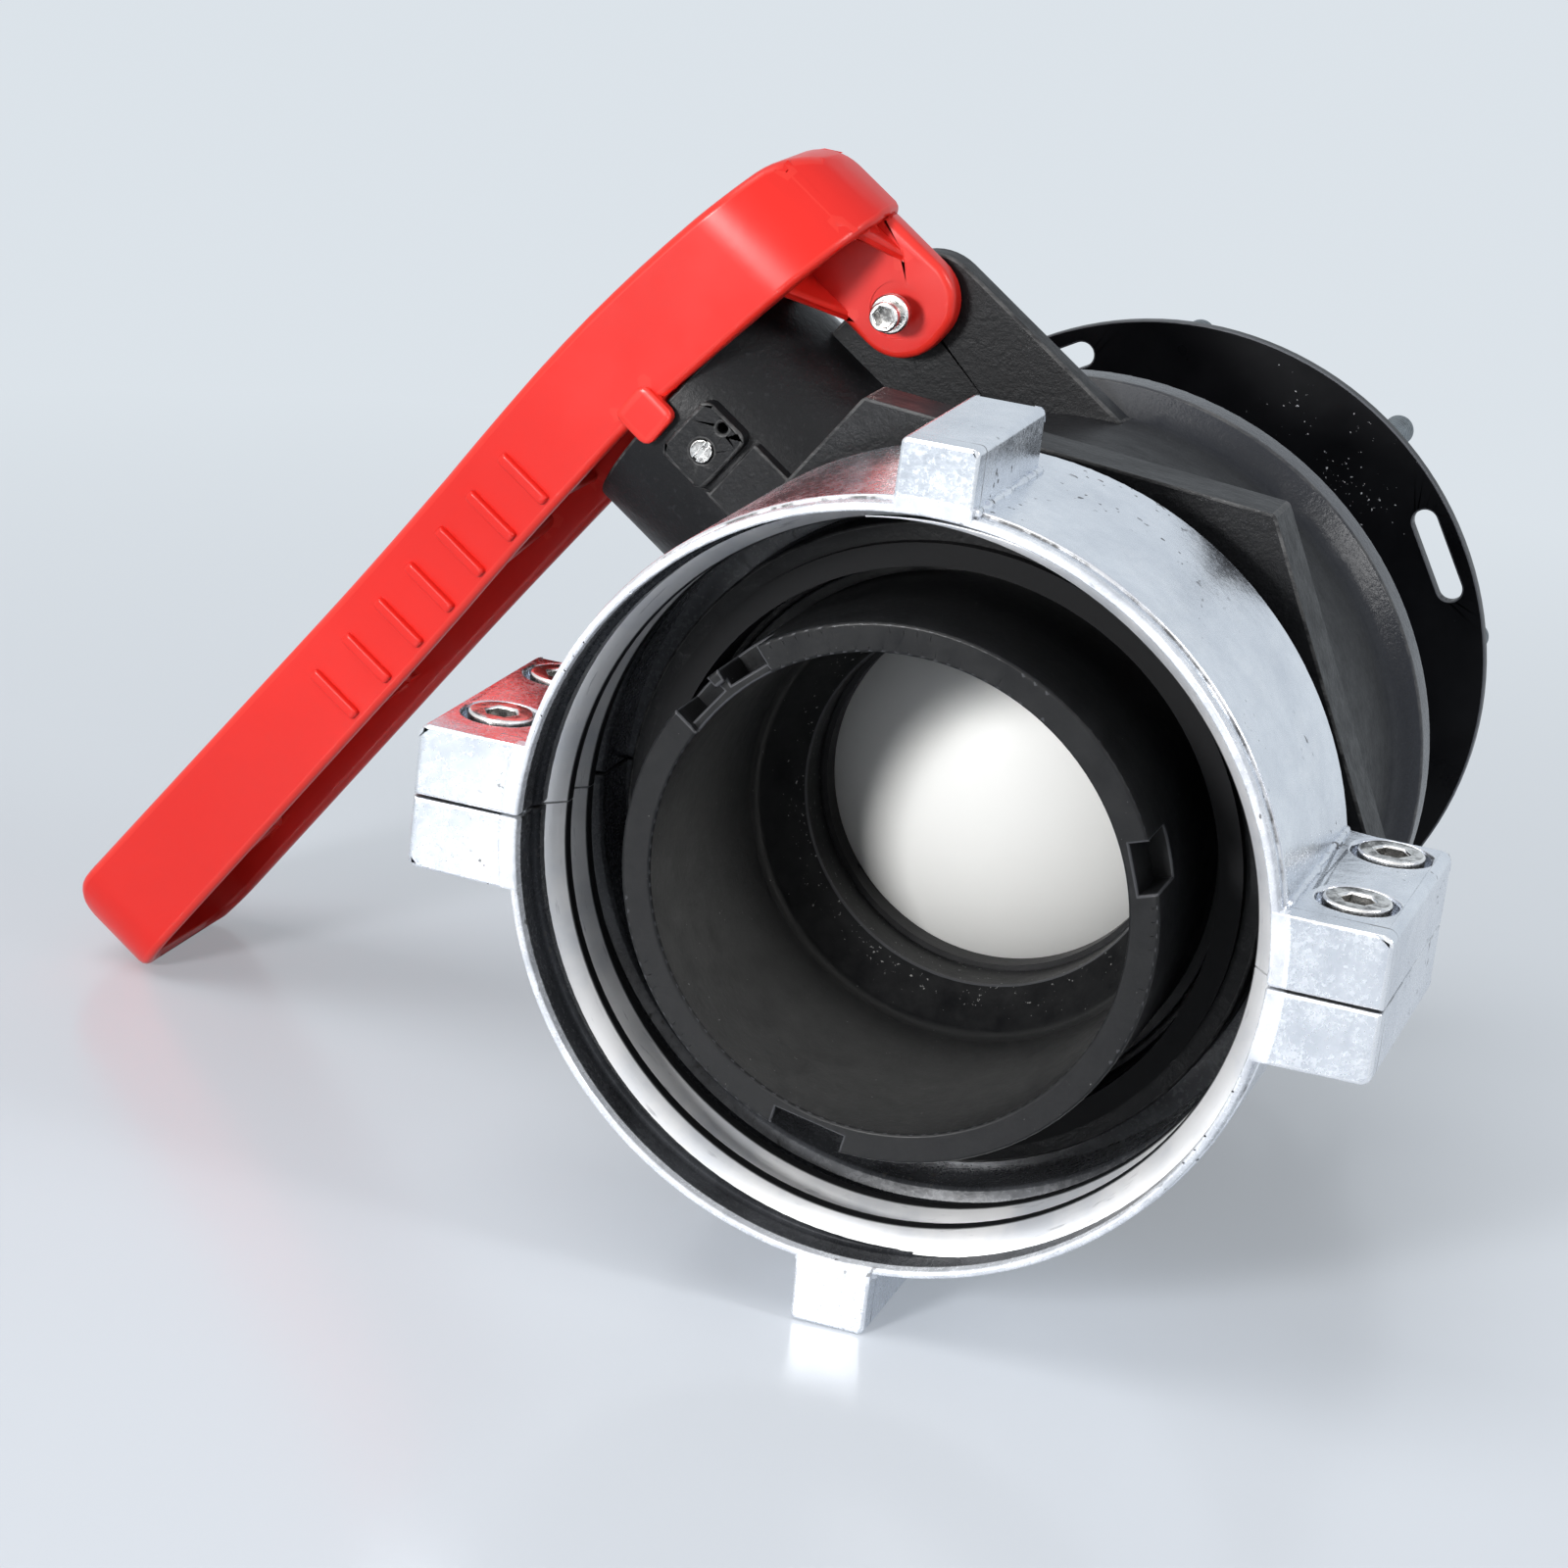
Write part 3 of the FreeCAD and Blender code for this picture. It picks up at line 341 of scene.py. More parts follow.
def cast_finish(colours):
    """Bright die-cast skin: soft clouds, fine pits, white edges, painted shade in the band's step
    and the seam, and a dark painted inner wall.
    """
    finish, tree, shader, place = new_finish("cast_zinc", 0.3, 1.0)
    station, height = nut_coordinates(tree, place)
    far = axis_distance(tree, place)
    cloud = grain(tree, place, 60.0, 6.0, 0.62)
    blotch = grain(tree, place, 330.0, 5.0, 0.68, shift=5.0)
    flow = grain(tree, place, 150.0, 5.0, 0.7, stretch=(1.0, 0.35, 1.0), shift=3.0)
    frost = grain(tree, place, 1100.0, 3.0, 0.7)
    pit = grain(tree, place, 620.0, 2.0, 0.45, shift=7.0)
    crowd = grain(tree, place, 48.0, 2.0, 0.5, shift=2.0)

    # the last tone darkens the pits and paints shade into the band's step and the seam
    dull, rubbed_and_sheen, shade_and_pit_tone = colours.casting_dull, (0.94, 0.95, 0.97), (0.06, 0.058, 0.055)
    skin = ramp(tree, cloud, dull, colours.casting, 0.34, 0.60)
    skin = tint(tree, ramp(tree, flow, 0.0, 0.5, 0.50, 0.72), skin, colours.casting_light)
    skin = tint(tree, ramp(tree, blotch, 0.35, 0.0, 0.36, 0.54), skin, dull)
    skin = tint(tree, ramp(tree, frost, 0.0, 0.08, 0.56, 0.74), skin, dull)
    wear_and_sheen = product(tree, edge_wear_and_sheen(tree), ramp(tree, cloud, 0.35, 0.75, 0.4, 0.6))
    skin = tint(tree, wear_and_sheen, skin, rubbed_and_sheen)

    # a smooth bright lip round the mouth, and behind it the inner wall painted near black, a
    # painted shade and dark reflection
    inside = ramp(tree, far, 1.0, 0.0, RIM_WALL, RIM_WALL + 0.3 * MM)
    near_ring = ramp(tree, far, 1.0, 0.0, NUT_DRUM + 0.5 * MM, NUT_DRUM + 1.1 * MM)
    behind_lip = ramp(tree, station, 0.0, 1.0, LIP_DEPTH, LIP_DEPTH + 0.3 * MM)
    lip = product(tree, near_ring, sums(tree, "SUBTRACT", 1.0, behind_lip))
    lip_tone = ramp(tree, flow, (0.60, 0.63, 0.68), (0.86, 0.89, 0.94), 0.36, 0.60)
    skin = tint(tree, lip, skin, lip_tone)
    # the dark tone on the inner wall is painted shade and reflection, not the metal's colour
    wall = product(tree, inside, behind_lip)
    wall_painted_shade = ramp(tree, cloud, (0.030, 0.032, 0.036), (0.085, 0.09, 0.10), 0.35, 0.65)
    skin = tint(tree, wall, skin, wall_painted_shade)
    painted = sums(tree, "MAXIMUM", lip, wall)
    tree.links.new(ramp(tree, painted, 1.0, 0.25), shader.inputs["Metallic"])

    pits = product(tree, ramp(tree, pit, 0.0, 1.0, 0.665, 0.70),
                   ramp(tree, crowd, 0.0, 1.0, 0.52, 0.60))
    outside = ramp(tree, far, 0.0, 1.0, RIM_WALL + 0.6 * MM, RIM_WALL + 1.0 * MM)
    # dark lines at the front band's step and at the seam are painted shade, broken by noise; the
    # pits are darkened as well
    rim_line = product(tree, band(tree, station, RIM_BAND, 0.06 * MM, 0.20 * MM), outside)
    seam_line = band(tree, height, 0.0, SPLIT_HALF + 0.01 * MM, 0.26 * MM)
    broken = ramp(tree, flow, 0.1, 0.9, 0.42, 0.60)
    shade_lines_and_pits = product(tree, sums(tree, "MAXIMUM", rim_line, seam_line), broken)
    shade_lines_and_pits = sums(tree, "MAXIMUM", shade_lines_and_pits, product(tree, pits, 0.8))
    skin = tint(tree, shade_lines_and_pits, skin, shade_and_pit_tone)

    rough = sums(tree, "ADD", ramp(tree, flow, 0.17, 0.28, 0.3, 0.7),
                 ramp(tree, frost, 0.0, 0.12, 0.45, 0.7))
    rough = sums(tree, "ADD", rough, product(tree, shade_lines_and_pits, 0.4))
    calm = ramp(tree, painted, 1.0, 0.35)
    coat(tree, shader, skin, rough,
         (product(tree, cloud, calm), 0.2, 1.0 * MM), (product(tree, blotch, calm), 0.16, 0.2 * MM),
         (frost, 0.15, 0.1 * MM), (pits, -0.5, 0.3 * MM))
    return finish


def thread_finish(colours, crest):
    """Machined inside of the nut, with turned rings, and its crests painted near black, a painted
    dark reflection.
    """
    finish, tree, shader, place = new_finish("turned_zinc", 0.4, 0.6)
    smear = grain(tree, place, 60.0, 5.0, 0.65, stretch=(1.0, 0.3, 1.0), shift=5.0)
    chatter = grain(tree, place, 500.0, 3.0, 0.6, stretch=(0.3, 3.0, 0.3))
    turned, scored, crest_dark_reflection = (0.96, 0.965, 0.975), (0.30, 0.31, 0.34), (0.03, 0.031, 0.034)
    skin = ramp(tree, smear, colours.casting, turned, 0.36, 0.56)
    skin = tint(tree, ramp(tree, chatter, 0.0, 0.45, 0.62, 0.72), skin, scored)
    # the crest's radius is painted near black, a painted dark reflection of the valve's black
    # inside
    land = ramp(tree, axis_distance(tree, place), 1.0, 0.0, crest + 0.12 * MM, crest + 0.30 * MM)
    skin = tint(tree, land, skin, crest_dark_reflection)
    coat(tree, shader, skin, ramp(tree, smear, 0.34, 0.5, 0.35, 0.7),
         (smear, 0.12, 0.5 * MM), (chatter, 0.2, 0.1 * MM))
    return finish


def lever_finish(colours):
    """Glossy moulded plastic, almost even, with a faint orange peel and paler rounded edges, a
    painted highlight.
    """
    finish, tree, shader, place = new_finish("red_lever", 0.33, Specular_IOR_Level=0.4,
                                             Coat_Weight=0.05, Coat_Roughness=0.25)
    cloud = grain(tree, place, 26.0, 3.0, 0.5)
    peel = grain(tree, place, 650.0, 2.0, 0.5)
    rub = grain(tree, place, 90.0, 4.0, 0.6)
    rubbed_and_sheen = (0.95, 0.14, 0.10)
    skin = ramp(tree, cloud, times(colours.lever, 0.96), times(colours.lever, 1.03), 0.35, 0.65)
    # the rounded edges are tinted a paler red, a painted highlight along them
    skin = tint(tree, edge_wear_and_sheen(tree, 0.10), skin, rubbed_and_sheen)
    coat(tree, shader, skin, ramp(tree, rub, 0.29, 0.37, 0.35, 0.7), (peel, 0.07, 0.1 * MM))
    return finish


def black_finish(colours, name, roughness, grit, depth):
    """Moulded black: grit is the spark-eroded texture, the rounded edges are paler grey, and the
    back is greyer, a painted sheen.
    """
    finish, tree, shader, place = new_finish(name, roughness, Specular_IOR_Level=0.22)
    cloud = grain(tree, place, 40.0, 4.0, 0.6)
    texture = grain(tree, place, grit, 3.0, 0.65)
    scuff = grain(tree, place, 300.0, 6.0, 0.8, stretch=(0.25, 1.0, 1.0), shift=2.0)
    back = add(tree, "ShaderNodeSeparateXYZ", {"Vector": place}).outputs["Y"]
    cloudy, gritty, rubbed_and_sheen = (0.024, 0.025, 0.028), (0.060, 0.062, 0.068), (0.09, 0.09, 0.09)
    # the back of the body is painted greyer, a painted sheen on the barrel and disc
    skin = ramp(tree, back, colours.body, colours.body_back_sheen, BEHIND_STEM, BEHIND_STEM + 12.0 * MM)
    skin = tint(tree, ramp(tree, cloud, 0.0, 0.2, 0.35, 0.7), skin, cloudy)
    skin = tint(tree, ramp(tree, texture, 0.0, 0.25, 0.58, 0.76), skin, gritty)
    wear_and_sheen = product(tree, edge_wear_and_sheen(tree), ramp(tree, scuff, 0.15, 1.0, 0.42, 0.62))
    skin = tint(tree, wear_and_sheen, skin, rubbed_and_sheen)
    rough = ramp(tree, scuff, roughness - 0.06, roughness + 0.12, 0.35, 0.7)
    polish = ramp(tree, back, 1.0, 0.55, BEHIND_BARREL, BEHIND_BARREL + 5.0 * MM)
    coat(tree, shader, skin, product(tree, rough, polish),
         (cloud, 0.12, 0.4 * MM), (texture, 0.45, depth))
    return finish


def carrier_finish(colours):
    """Black seat carrier: grained face, and crumbs from the moulding on the bore's lip."""
    finish, tree, shader, place = new_finish("carrier_black", 0.36, Specular_IOR_Level=0.22)
    texture = grain(tree, place, 950.0, 3.0, 0.6)
    scuff = grain(tree, place, 180.0, 6.0, 0.8, shift=2.0)
    crumb = grain(tree, place, 1500.0, 2.0, 0.6, shift=9.0)
    scuffed, pale, rubbed_and_sheen = (0.013, 0.0135, 0.014), (0.42, 0.42, 0.41), (0.09, 0.092, 0.10)
    skin = ramp(tree, scuff, colours.body, scuffed, 0.35, 0.7)
    far = axis_distance(tree, place)
    lip = product(tree, ramp(tree, far, 0.0, 1.0, 27.0 * MM, 28.5 * MM),
                  ramp(tree, far, 1.0, 0.0, 31.8 * MM, 32.6 * MM))
    dusty = product(tree, lip, ramp(tree, crumb, 0.0, 0.6, 0.67, 0.73))
    stray = ramp(tree, crumb, 0.0, 0.5, 0.745, 0.77)
    skin = tint(tree, sums(tree, "ADD", dusty, stray), skin, pale)
    skin = tint(tree, edge_wear_and_sheen(tree, 0.6), skin, rubbed_and_sheen)
    coat(tree, shader, skin, ramp(tree, scuff, 0.28, 0.46, 0.3, 0.7),
         (texture, 0.35, 0.1 * MM), (scuff, 0.12, 0.3 * MM))
    return finish


def ball_finish(colours):
    """White moulded ball, nearly smooth, with faint flow marks."""
    finish, tree, shader, place = new_finish("ball_white", 0.3, Specular_IOR_Level=0.3)
    cloud = grain(tree, place, 22.0, 3.0, 0.5)
    peel = grain(tree, place, 500.0, 2.0, 0.5)
    skin = ramp(tree, cloud, times(colours.ball, 0.975), colours.ball, 0.35, 0.65)
    coat(tree, shader, skin, ramp(tree, peel, 0.42, 0.52, 0.3, 0.7), (peel, 0.06, 0.1 * MM))
    return finish


def steel_finish(colours):
    """Bright plated steel with painted dark reflections in random patches, and dark specks."""
    finish, tree, shader, place = new_finish("plated_steel", 0.2, 1.0)
    dark_reflection_noise = grain(tree, place, 420.0, 5.0, 0.7)
    speck = grain(tree, place, 1600.0, 2.0, 0.6, shift=4.0)
    rust, rubbed_and_sheen = (0.10, 0.09, 0.08), (0.96, 0.95, 0.93)
    # the dark patches are painted reflections of dark surroundings
    skin = ramp(tree, dark_reflection_noise, times(colours.steel, 0.18), colours.steel, 0.38, 0.56)
    skin = tint(tree, ramp(tree, speck, 0.0, 0.7, 0.64, 0.72), skin, rust)
    skin = tint(tree, edge_wear_and_sheen(tree, 0.8), skin, rubbed_and_sheen)
    coat(tree, shader, skin, ramp(tree, dark_reflection_noise, 0.34, 0.14, 0.3, 0.7), (dark_reflection_noise, 0.3, 0.2 * MM))
    return finish


def stud_finish(colours):
    """Dull zinc on the studs, with the lay of a rolled thread drawn round them."""
    finish, tree, shader, place = new_finish("stud_zinc", 0.42, 0.8)
    cloud = grain(tree, place, 300.0, 4.0, 0.7)
    lay = add(tree, "ShaderNodeTexWave", {
        "Vector": place, "Scale": 240.0, "Distortion": 0.6, "Detail": 1.0},
        wave_type="BANDS", bands_direction="Y").outputs["Fac"]
    skin = ramp(tree, cloud, times(colours.stud, 0.7), times(colours.stud, 1.25), 0.3, 0.7)
    coat(tree, shader, skin, None, (lay, 0.8, 0.4 * MM), (cloud, 0.3, 0.1 * MM))
    return finish


def ring_finish(colours):
    """Black lacquered ring with pale dust thrown over one part of its face."""
    finish, tree, shader, place = new_finish("ring_lacquer", 0.3, Specular_IOR_Level=0.15)
    cloud = grain(tree, place, 50.0, 4.0, 0.6)
    flake = grain(tree, place, 1300.0, 2.0, 0.7, shift=1.0)
    patch = grain(tree, place, 70.0, 2.0, 0.5, shift=6.0)
    away = vectors(tree, "DISTANCE", place, DUSTY_SPOT)
    near = product(tree, ramp(tree, away, 1.0, 0.0, 6.0 * MM, 26.0 * MM),
                   ramp(tree, patch, 0.3, 1.0, 0.42, 0.58))
    need = sums(tree, "SUBTRACT", 0.79, product(tree, near, 0.175))
    dust = ramp(tree, sums(tree, "SUBTRACT", flake, need), 0.0, 1.0, 0.0, 0.03)
    deep, lacquer = (0.003, 0.0032, 0.004), (0.008, 0.0085, 0.010)
    rubbed_and_sheen, dust_tone = (0.18, 0.19, 0.21), (0.72, 0.74, 0.77)
    skin = ramp(tree, cloud, deep, lacquer, 0.3, 0.7)
    skin = tint(tree, edge_wear_and_sheen(tree, 0.6), skin, rubbed_and_sheen)
    skin = tint(tree, dust, skin, dust_tone)
    coat(tree, shader, skin, ramp(tree, cloud, 0.24, 0.38, 0.3, 0.7),
         (cloud, 0.12, 0.5 * MM), (dust, 0.4, 0.2 * MM))
    return finish


def rubber_finish(name, tone, roughness):
    """Matt rubber or plastic seal with a fine bloom."""
    finish, tree, shader, place = new_finish(name, roughness, Specular_IOR_Level=0.15)
    bloom = grain(tree, place, 120.0, 5.0, 0.7)
    texture = grain(tree, place, 1500.0, 2.0, 0.6)
    skin = ramp(tree, bloom, times(tone, 0.75), times(tone, 1.4), 0.3, 0.7)
    coat(tree, shader, skin, ramp(tree, bloom, roughness - 0.08, roughness + 0.08, 0.3, 0.7),
         (texture, 0.3, 0.08 * MM))
    return finish


def dress(finish, *names):
    """Give CAD nodes their finish; the slot is on the object, so the frame's mesh is untouched."""
    for name in names:
        piece = NODES[name]
        for slot in piece.material_slots:
            slot.link = "OBJECT"
            slot.material = finish


# Pieces
def new_object(name, data):
    """An object of the scene, at the origin."""
    thing = bpy.data.objects.new(name, data)
    bpy.context.scene.collection.objects.link(thing)
    return thing


def mount(piece, body):
    """Let a piece ride on a body."""
    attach(piece, body)


def grown(name, tree, values):
    """Run a geometry tree on an empty mesh and return the result as one plain mesh."""
    holder = new_object(name + "_holder", bpy.data.meshes.new(name + "_seed"))
    growth = holder.modifiers.new("form", "NODES")
    growth.node_group = tree
    for item in tree.interface.items_tree:
        if item.item_type == "SOCKET" and item.in_out == "INPUT" and item.name in values:
            growth[item.identifier] = values[item.name]
    mesh = final_mesh(holder)
    bpy.data.objects.remove(holder)
    mesh.name = name
    return mesh


def final_mesh(piece):
    """The mesh of a piece with its modifiers worked out."""
    bpy.context.view_layer.update()
    graph = bpy.context.evaluated_depsgraph_get()
    return bpy.data.meshes.new_from_object(piece.evaluated_get(graph), depsgraph=graph)


def piece_from(name, mesh, finish, smooth):
    """A piece with its finish, shaded smooth up to an angle in degrees."""
    piece = new_object(name, mesh)
    mesh.materials.clear()
    mesh.materials.append(finish)
    shape = bmesh.new()
    shape.from_mesh(mesh)
    for face in shape.faces:
        face.smooth = True
    for edge in shape.edges:
        if len(edge.link_faces) == 2:
            edge.smooth = edge.calc_face_angle(0.0) < math.radians(smooth)
    shape.to_mesh(mesh)
    shape.free()
    return piece


def round_over(shape, rims, width):
    """Round the edges of a merged shape, and mark the new faces for edge wear and painted
    highlight.

    A round that grows past its faces is drawn back to them. Returns the old edges' ends.
    """
    before = BVHTree.FromBMesh(shape)
    wear_and_sheen = shape.faces.layers.float.new("wear_and_sheen")
    old_ends = KDTree(2 * len(rims))
    for order, vert in enumerate(vert for edge in rims for vert in edge.verts):
        old_ends.insert(vert.co, order)
    old_ends.balance()
    rounded = bmesh.ops.bevel(shape, geom=rims, offset=width, offset_type="OFFSET", segments=3,
                              profile=0.5, affect="EDGES", clamp_overlap=False, loop_slide=True)
    for face in rounded["faces"]:
        face[wear_and_sheen] = 1.0
    for vert in shape.verts:
        spot, normal, _face, away = before.find_nearest(vert.co)
        outside = away > ON_SURFACE and (vert.co - spot).dot(normal) > -0.5 * away
        if away > FARTHEST * width or outside:
            vert.co = spot
    return old_ends


def pull_corners(shape, old_ends, width):
    """Draw each corner that a round left behind in between its neighbours."""
    shape.normal_update()
    for vert in shape.verts:
        middle = sum((edge.other_vert(vert).co for edge in vert.link_edges), Vector())
        middle /= max(1, len(vert.link_edges))
        left_behind = old_ends.find(vert.co)[2] < CORNER_NEAR * width
        if left_behind and (vert.co - middle).dot(vert.normal) > CORNER_PROUD * width:
            vert.co = middle


def softened(node, body, width, finish, keep=None, settle=None):
    """Show a CAD node as a form whose outer edges are rounded and marked for wear and painted
    highlight.

    keep picks the edges to round. settle moves single points, to trim what stands proud.
    """
    mesh = NODES[node].data.copy()
    shape = bmesh.new()
    shape.from_mesh(mesh)
    bmesh.ops.remove_doubles(shape, verts=shape.verts, dist=SAME_POINT)
    rims = [edge for edge in shape.edges
            if edge.is_convex and edge.calc_face_angle(0.0) > SHARP_EDGE]
    if keep:
        rims = [edge for edge in rims if keep(edge)]
    old_ends = round_over(shape, rims, width)
    if settle:
        for vert in shape.verts:
            vert.co = settle(vert.co)
    pull_corners(shape, old_ends, width)
    bmesh.ops.triangulate(shape, faces=shape.faces, ngon_method="EAR_CLIP")
    bmesh.ops.dissolve_degenerate(shape, dist=0.5 * SAME_POINT, edges=shape.edges)
    shape.to_mesh(mesh)
    shape.free()
    piece = piece_from(node + "_form", mesh, finish, smooth=50.0)
    flat = piece.modifiers.new("flat_faces", "WEIGHTED_NORMAL")
    flat.keep_sharp = True
    flat.weight = 100
    mesh = final_mesh(piece)
    piece.modifiers.clear()
    piece.data = mesh
    mount(piece, body)
    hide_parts(node)


# Node groups for forms
def form_tree(name, inputs):
    """A geometry tree whose named inputs have a default, or else the name of their kind.

    Returns the tree, its input node and its output node.
    """
    tree = bpy.data.node_groups.new(name, "GeometryNodeTree")
    kinds = {float: "Float", int: "Int"}
    for label, value in inputs.items():
        kind = kinds.get(type(value), value)
        socket = tree.interface.new_socket(label, in_out="INPUT", socket_type="NodeSocket" + kind)
        if type(value) in kinds:
            socket.default_value = value
    tree.interface.new_socket("Geometry", in_out="OUTPUT", socket_type="NodeSocketGeometry")
    return tree, tree.nodes.new("NodeGroupInput"), tree.nodes.new("NodeGroupOutput")


def finished_tree(tree, geometry, finish, out):
    """Close a tree the usual way: real geometry with its material on it."""
    real = add(tree, "GeometryNodeRealizeInstances", {"Geometry": geometry})
    covered = add(tree, "GeometryNodeSetMaterial", {
        "Geometry": real.outputs["Geometry"], "Material": finish})
    tree.links.new(covered.outputs["Geometry"], out.inputs["Geometry"])
    return tree


def swept(tree, path, girth, profile):
    """A closed mesh of a profile carried along a path, with its size varied by girth."""
    swelled = add(tree, "GeometryNodeSetCurveRadius", {"Curve": path, "Radius": girth})
    radius = add(tree, "GeometryNodeInputRadius").outputs[0]
    return add(tree, "GeometryNodeCurveToMesh", {
        "Curve": swelled.outputs["Curve"], "Profile Curve": profile, "Scale": radius,
        "Fill Caps": True}).outputs["Mesh"]


def thread_tree():
    """A helical ridge round the flow axis, whose ends sink into the wall."""
    tree, given, out = form_tree("union_thread_form", {
        "Wall Radius": 56.0 * MM, "Lead": 8.5 * MM, "Turns": 2.0, "Depth": 2.5 * MM,
        "Flank": 4.2 * MM, "Land": 1.9 * MM, "Back Flank": 1.2 * MM, "Root Cover": 1.3 * MM,
        "Crest Round": 0.4 * MM, "Fade": 0.07, "Run Out": 0.04, "Finish": "Material"})
    size = given.outputs
    spiral = add(tree, "GeometryNodeCurveSpiral", {
        "Resolution": 144, "Rotations": size["Turns"], "Start Radius": size["Wall Radius"],
        "End Radius": size["Wall Radius"], "Reverse": True,
        "Height": product(tree, size["Lead"], size["Turns"])})
    upright = add(tree, "GeometryNodeSetCurveNormal", {"Curve": spiral.outputs["Curve"]},
                  mode="Z_UP")
    along = add(tree, "GeometryNodeSplineParameter").outputs["Factor"]
    left = sums(tree, "SUBTRACT", 1.0, along)
    start, end = [
        add(tree, "ShaderNodeMapRange", {
            "Value": way, "From Min": 0.0, "From Max": share, "To Min": 0.05},
            interpolation_type="SMOOTHSTEP").outputs[0]
        for way, share in ((along, size["Fade"]), (left, size["Run Out"]))]

    def corner(inward, onward):
        # a swept profile's own axes point outward and back to the mouth, so both are negated
        spot = add(tree, "ShaderNodeCombineXYZ", {"X": inward, "Y": onward})
        return vectors(tree, "SCALE", spot.outputs["Vector"], -1.0)

    cover = product(tree, size["Root Cover"], -1.0)
    crest = size["Depth"]
    back = sums(tree, "ADD", size["Flank"], size["Land"])
    foot = sums(tree, "ADD", back, size["Back Flank"])
    profile = add(tree, "GeometryNodeCurvePrimitiveQuadrilateral", {
        "Point 1": corner(cover, 0.0), "Point 2": corner(crest, size["Flank"]),
        "Point 3": corner(crest, back), "Point 4": corner(cover, foot)}, mode="POINTS")
    rounded = add(tree, "GeometryNodeFilletCurve", {
        "Curve": profile.outputs["Curve"], "Count": 3, "Radius": size["Crest Round"]}, mode="POLY")
    ridge = swept(tree, upright.outputs["Curve"], sums(tree, "MINIMUM", start, end),
                  rounded.outputs["Curve"])
    return finished_tree(tree, ridge, size["Finish"], out)


def ribs_tree():
    """Rounded bars along a straight line, each set down on the wall behind it."""
    tree, given, out = form_tree("grip_rib_form", {
        "Wall": "Object", "Count": 7, "First": "Vector", "Last": "Vector", "Upright": "Vector",
        "Width": 2.0 * MM, "Height": 10.5 * MM, "Depth": 2.2 * MM, "Finish": "Material"})
    size = given.outputs
    line = add(tree, "GeometryNodeMeshLine", {
        "Count": size["Count"], "Start Location": size["First"], "Offset": size["Last"]},
        mode="END_POINTS")
    wall = add(tree, "GeometryNodeObjectInfo", {"Object": size["Wall"]})
    ray = add(tree, "GeometryNodeRaycast", {
        "Target Geometry": wall.outputs["Geometry"], "Ray Direction": (0.0, 1.0, 0.0),
        "Ray Length": 0.1})
    seated = add(tree, "GeometryNodeSetPosition", {
        "Geometry": line.outputs["Mesh"], "Position": ray.outputs["Hit Position"]})
    stood = add(tree, "FunctionNodeAlignRotationToVector", {"Vector": size["Upright"]}, axis="Z")
    faced = add(tree, "FunctionNodeAlignRotationToVector", {
        "Rotation": stood.outputs["Rotation"], "Vector": ray.outputs["Hit Normal"]},
        axis="Y", pivot_axis="Z")
    extent = add(tree, "ShaderNodeCombineXYZ", {
        "X": size["Width"], "Y": size["Depth"], "Z": size["Height"]})
    bar = add(tree, "GeometryNodeMeshCube", {
        "Size": extent.outputs["Vector"], "Vertices X": 4, "Vertices Y": 3, "Vertices Z": 9})
    soft = add(tree, "GeometryNodeSubdivisionSurface", {"Mesh": bar.outputs["Mesh"], "Level": 2})
    turn = add(tree, "GeometryNodeCaptureAttribute", {"Geometry": seated.outputs["Geometry"]})
    turn.capture_items.new("ROTATION", "Facing")
    tree.links.new(faced.outputs["Rotation"], turn.inputs["Facing"])
    spread = add(tree, "GeometryNodeInstanceOnPoints", {
        "Points": turn.outputs["Geometry"], "Instance": soft.outputs["Mesh"],
        "Rotation": turn.outputs["Facing"]})
    return finished_tree(tree, spread.outputs["Instances"], size["Finish"], out)


def bead_tree():
    """Uneven flash that runs along three sides of a lug's foot."""
    tree, given, out = form_tree("foot_bead_form", {
        "Near Left": "Vector", "Far Left": "Vector", "Far Right": "Vector",
        "Near Right": "Vector", "Radius": 0.75 * MM, "Unevenness": 0.8 * MM, "Seed": 3.0,
        "Finish": "Material"})
    size = given.outputs
    path = add(tree, "GeometryNodeCurvePrimitiveQuadrilateral", {
        "Point 1": size["Near Left"], "Point 2": size["Far Left"],
        "Point 3": size["Far Right"], "Point 4": size["Near Right"]}, mode="POINTS")
    fine = add(tree, "GeometryNodeResampleCurve", {"Curve": path.outputs["Curve"], "Count": 180})
    place = add(tree, "GeometryNodeInputPosition").outputs["Position"]
    swell, lumps = [
        add(tree, "ShaderNodeTexNoise", {
            "Vector": place, "W": size["Seed"], "Scale": scale, "Detail": detail},
            noise_dimensions="4D").outputs
        for scale, detail in ((260.0, 3.0), (700.0, 2.0))]
    girth = ramp(tree, swell["Fac"], 0.45, 1.35, 0.3, 0.7)
    circle = add(tree, "GeometryNodeCurvePrimitiveCircle", {"Resolution": 8, "Radius": 1.0})
    bead = swept(tree, fine.outputs["Curve"], product(tree, girth, size["Radius"]),
                 circle.outputs["Curve"])
    centred = vectors(tree, "SUBTRACT", lumps["Color"], (0.5, 0.5, 0.5))
    drift = vectors(tree, "SCALE", centred, size["Unevenness"])
    rough = add(tree, "GeometryNodeSetPosition", {"Geometry": bead, "Offset": drift})
    return finished_tree(tree, rough.outputs["Geometry"], size["Finish"], out)


def split_by(mesh, point, normal):
    """Keep the part of a closed mesh on the side that the normal points to, and close the cut."""
    shape = bmesh.new()
    shape.from_mesh(mesh)
    everything = shape.verts[:] + shape.edges[:] + shape.faces[:]
    cut = bmesh.ops.bisect_plane(shape, geom=everything, plane_co=point, plane_no=normal,
                                 clear_inner=True, dist=1e-7)
    rim = [item for item in cut["geom_cut"] if isinstance(item, bmesh.types.BMEdge)]
    bmesh.ops.holes_fill(shape, edges=rim, sides=0)
    bmesh.ops.recalc_face_normals(shape, faces=shape.faces[:])
    shape.to_mesh(mesh)
    shape.free()


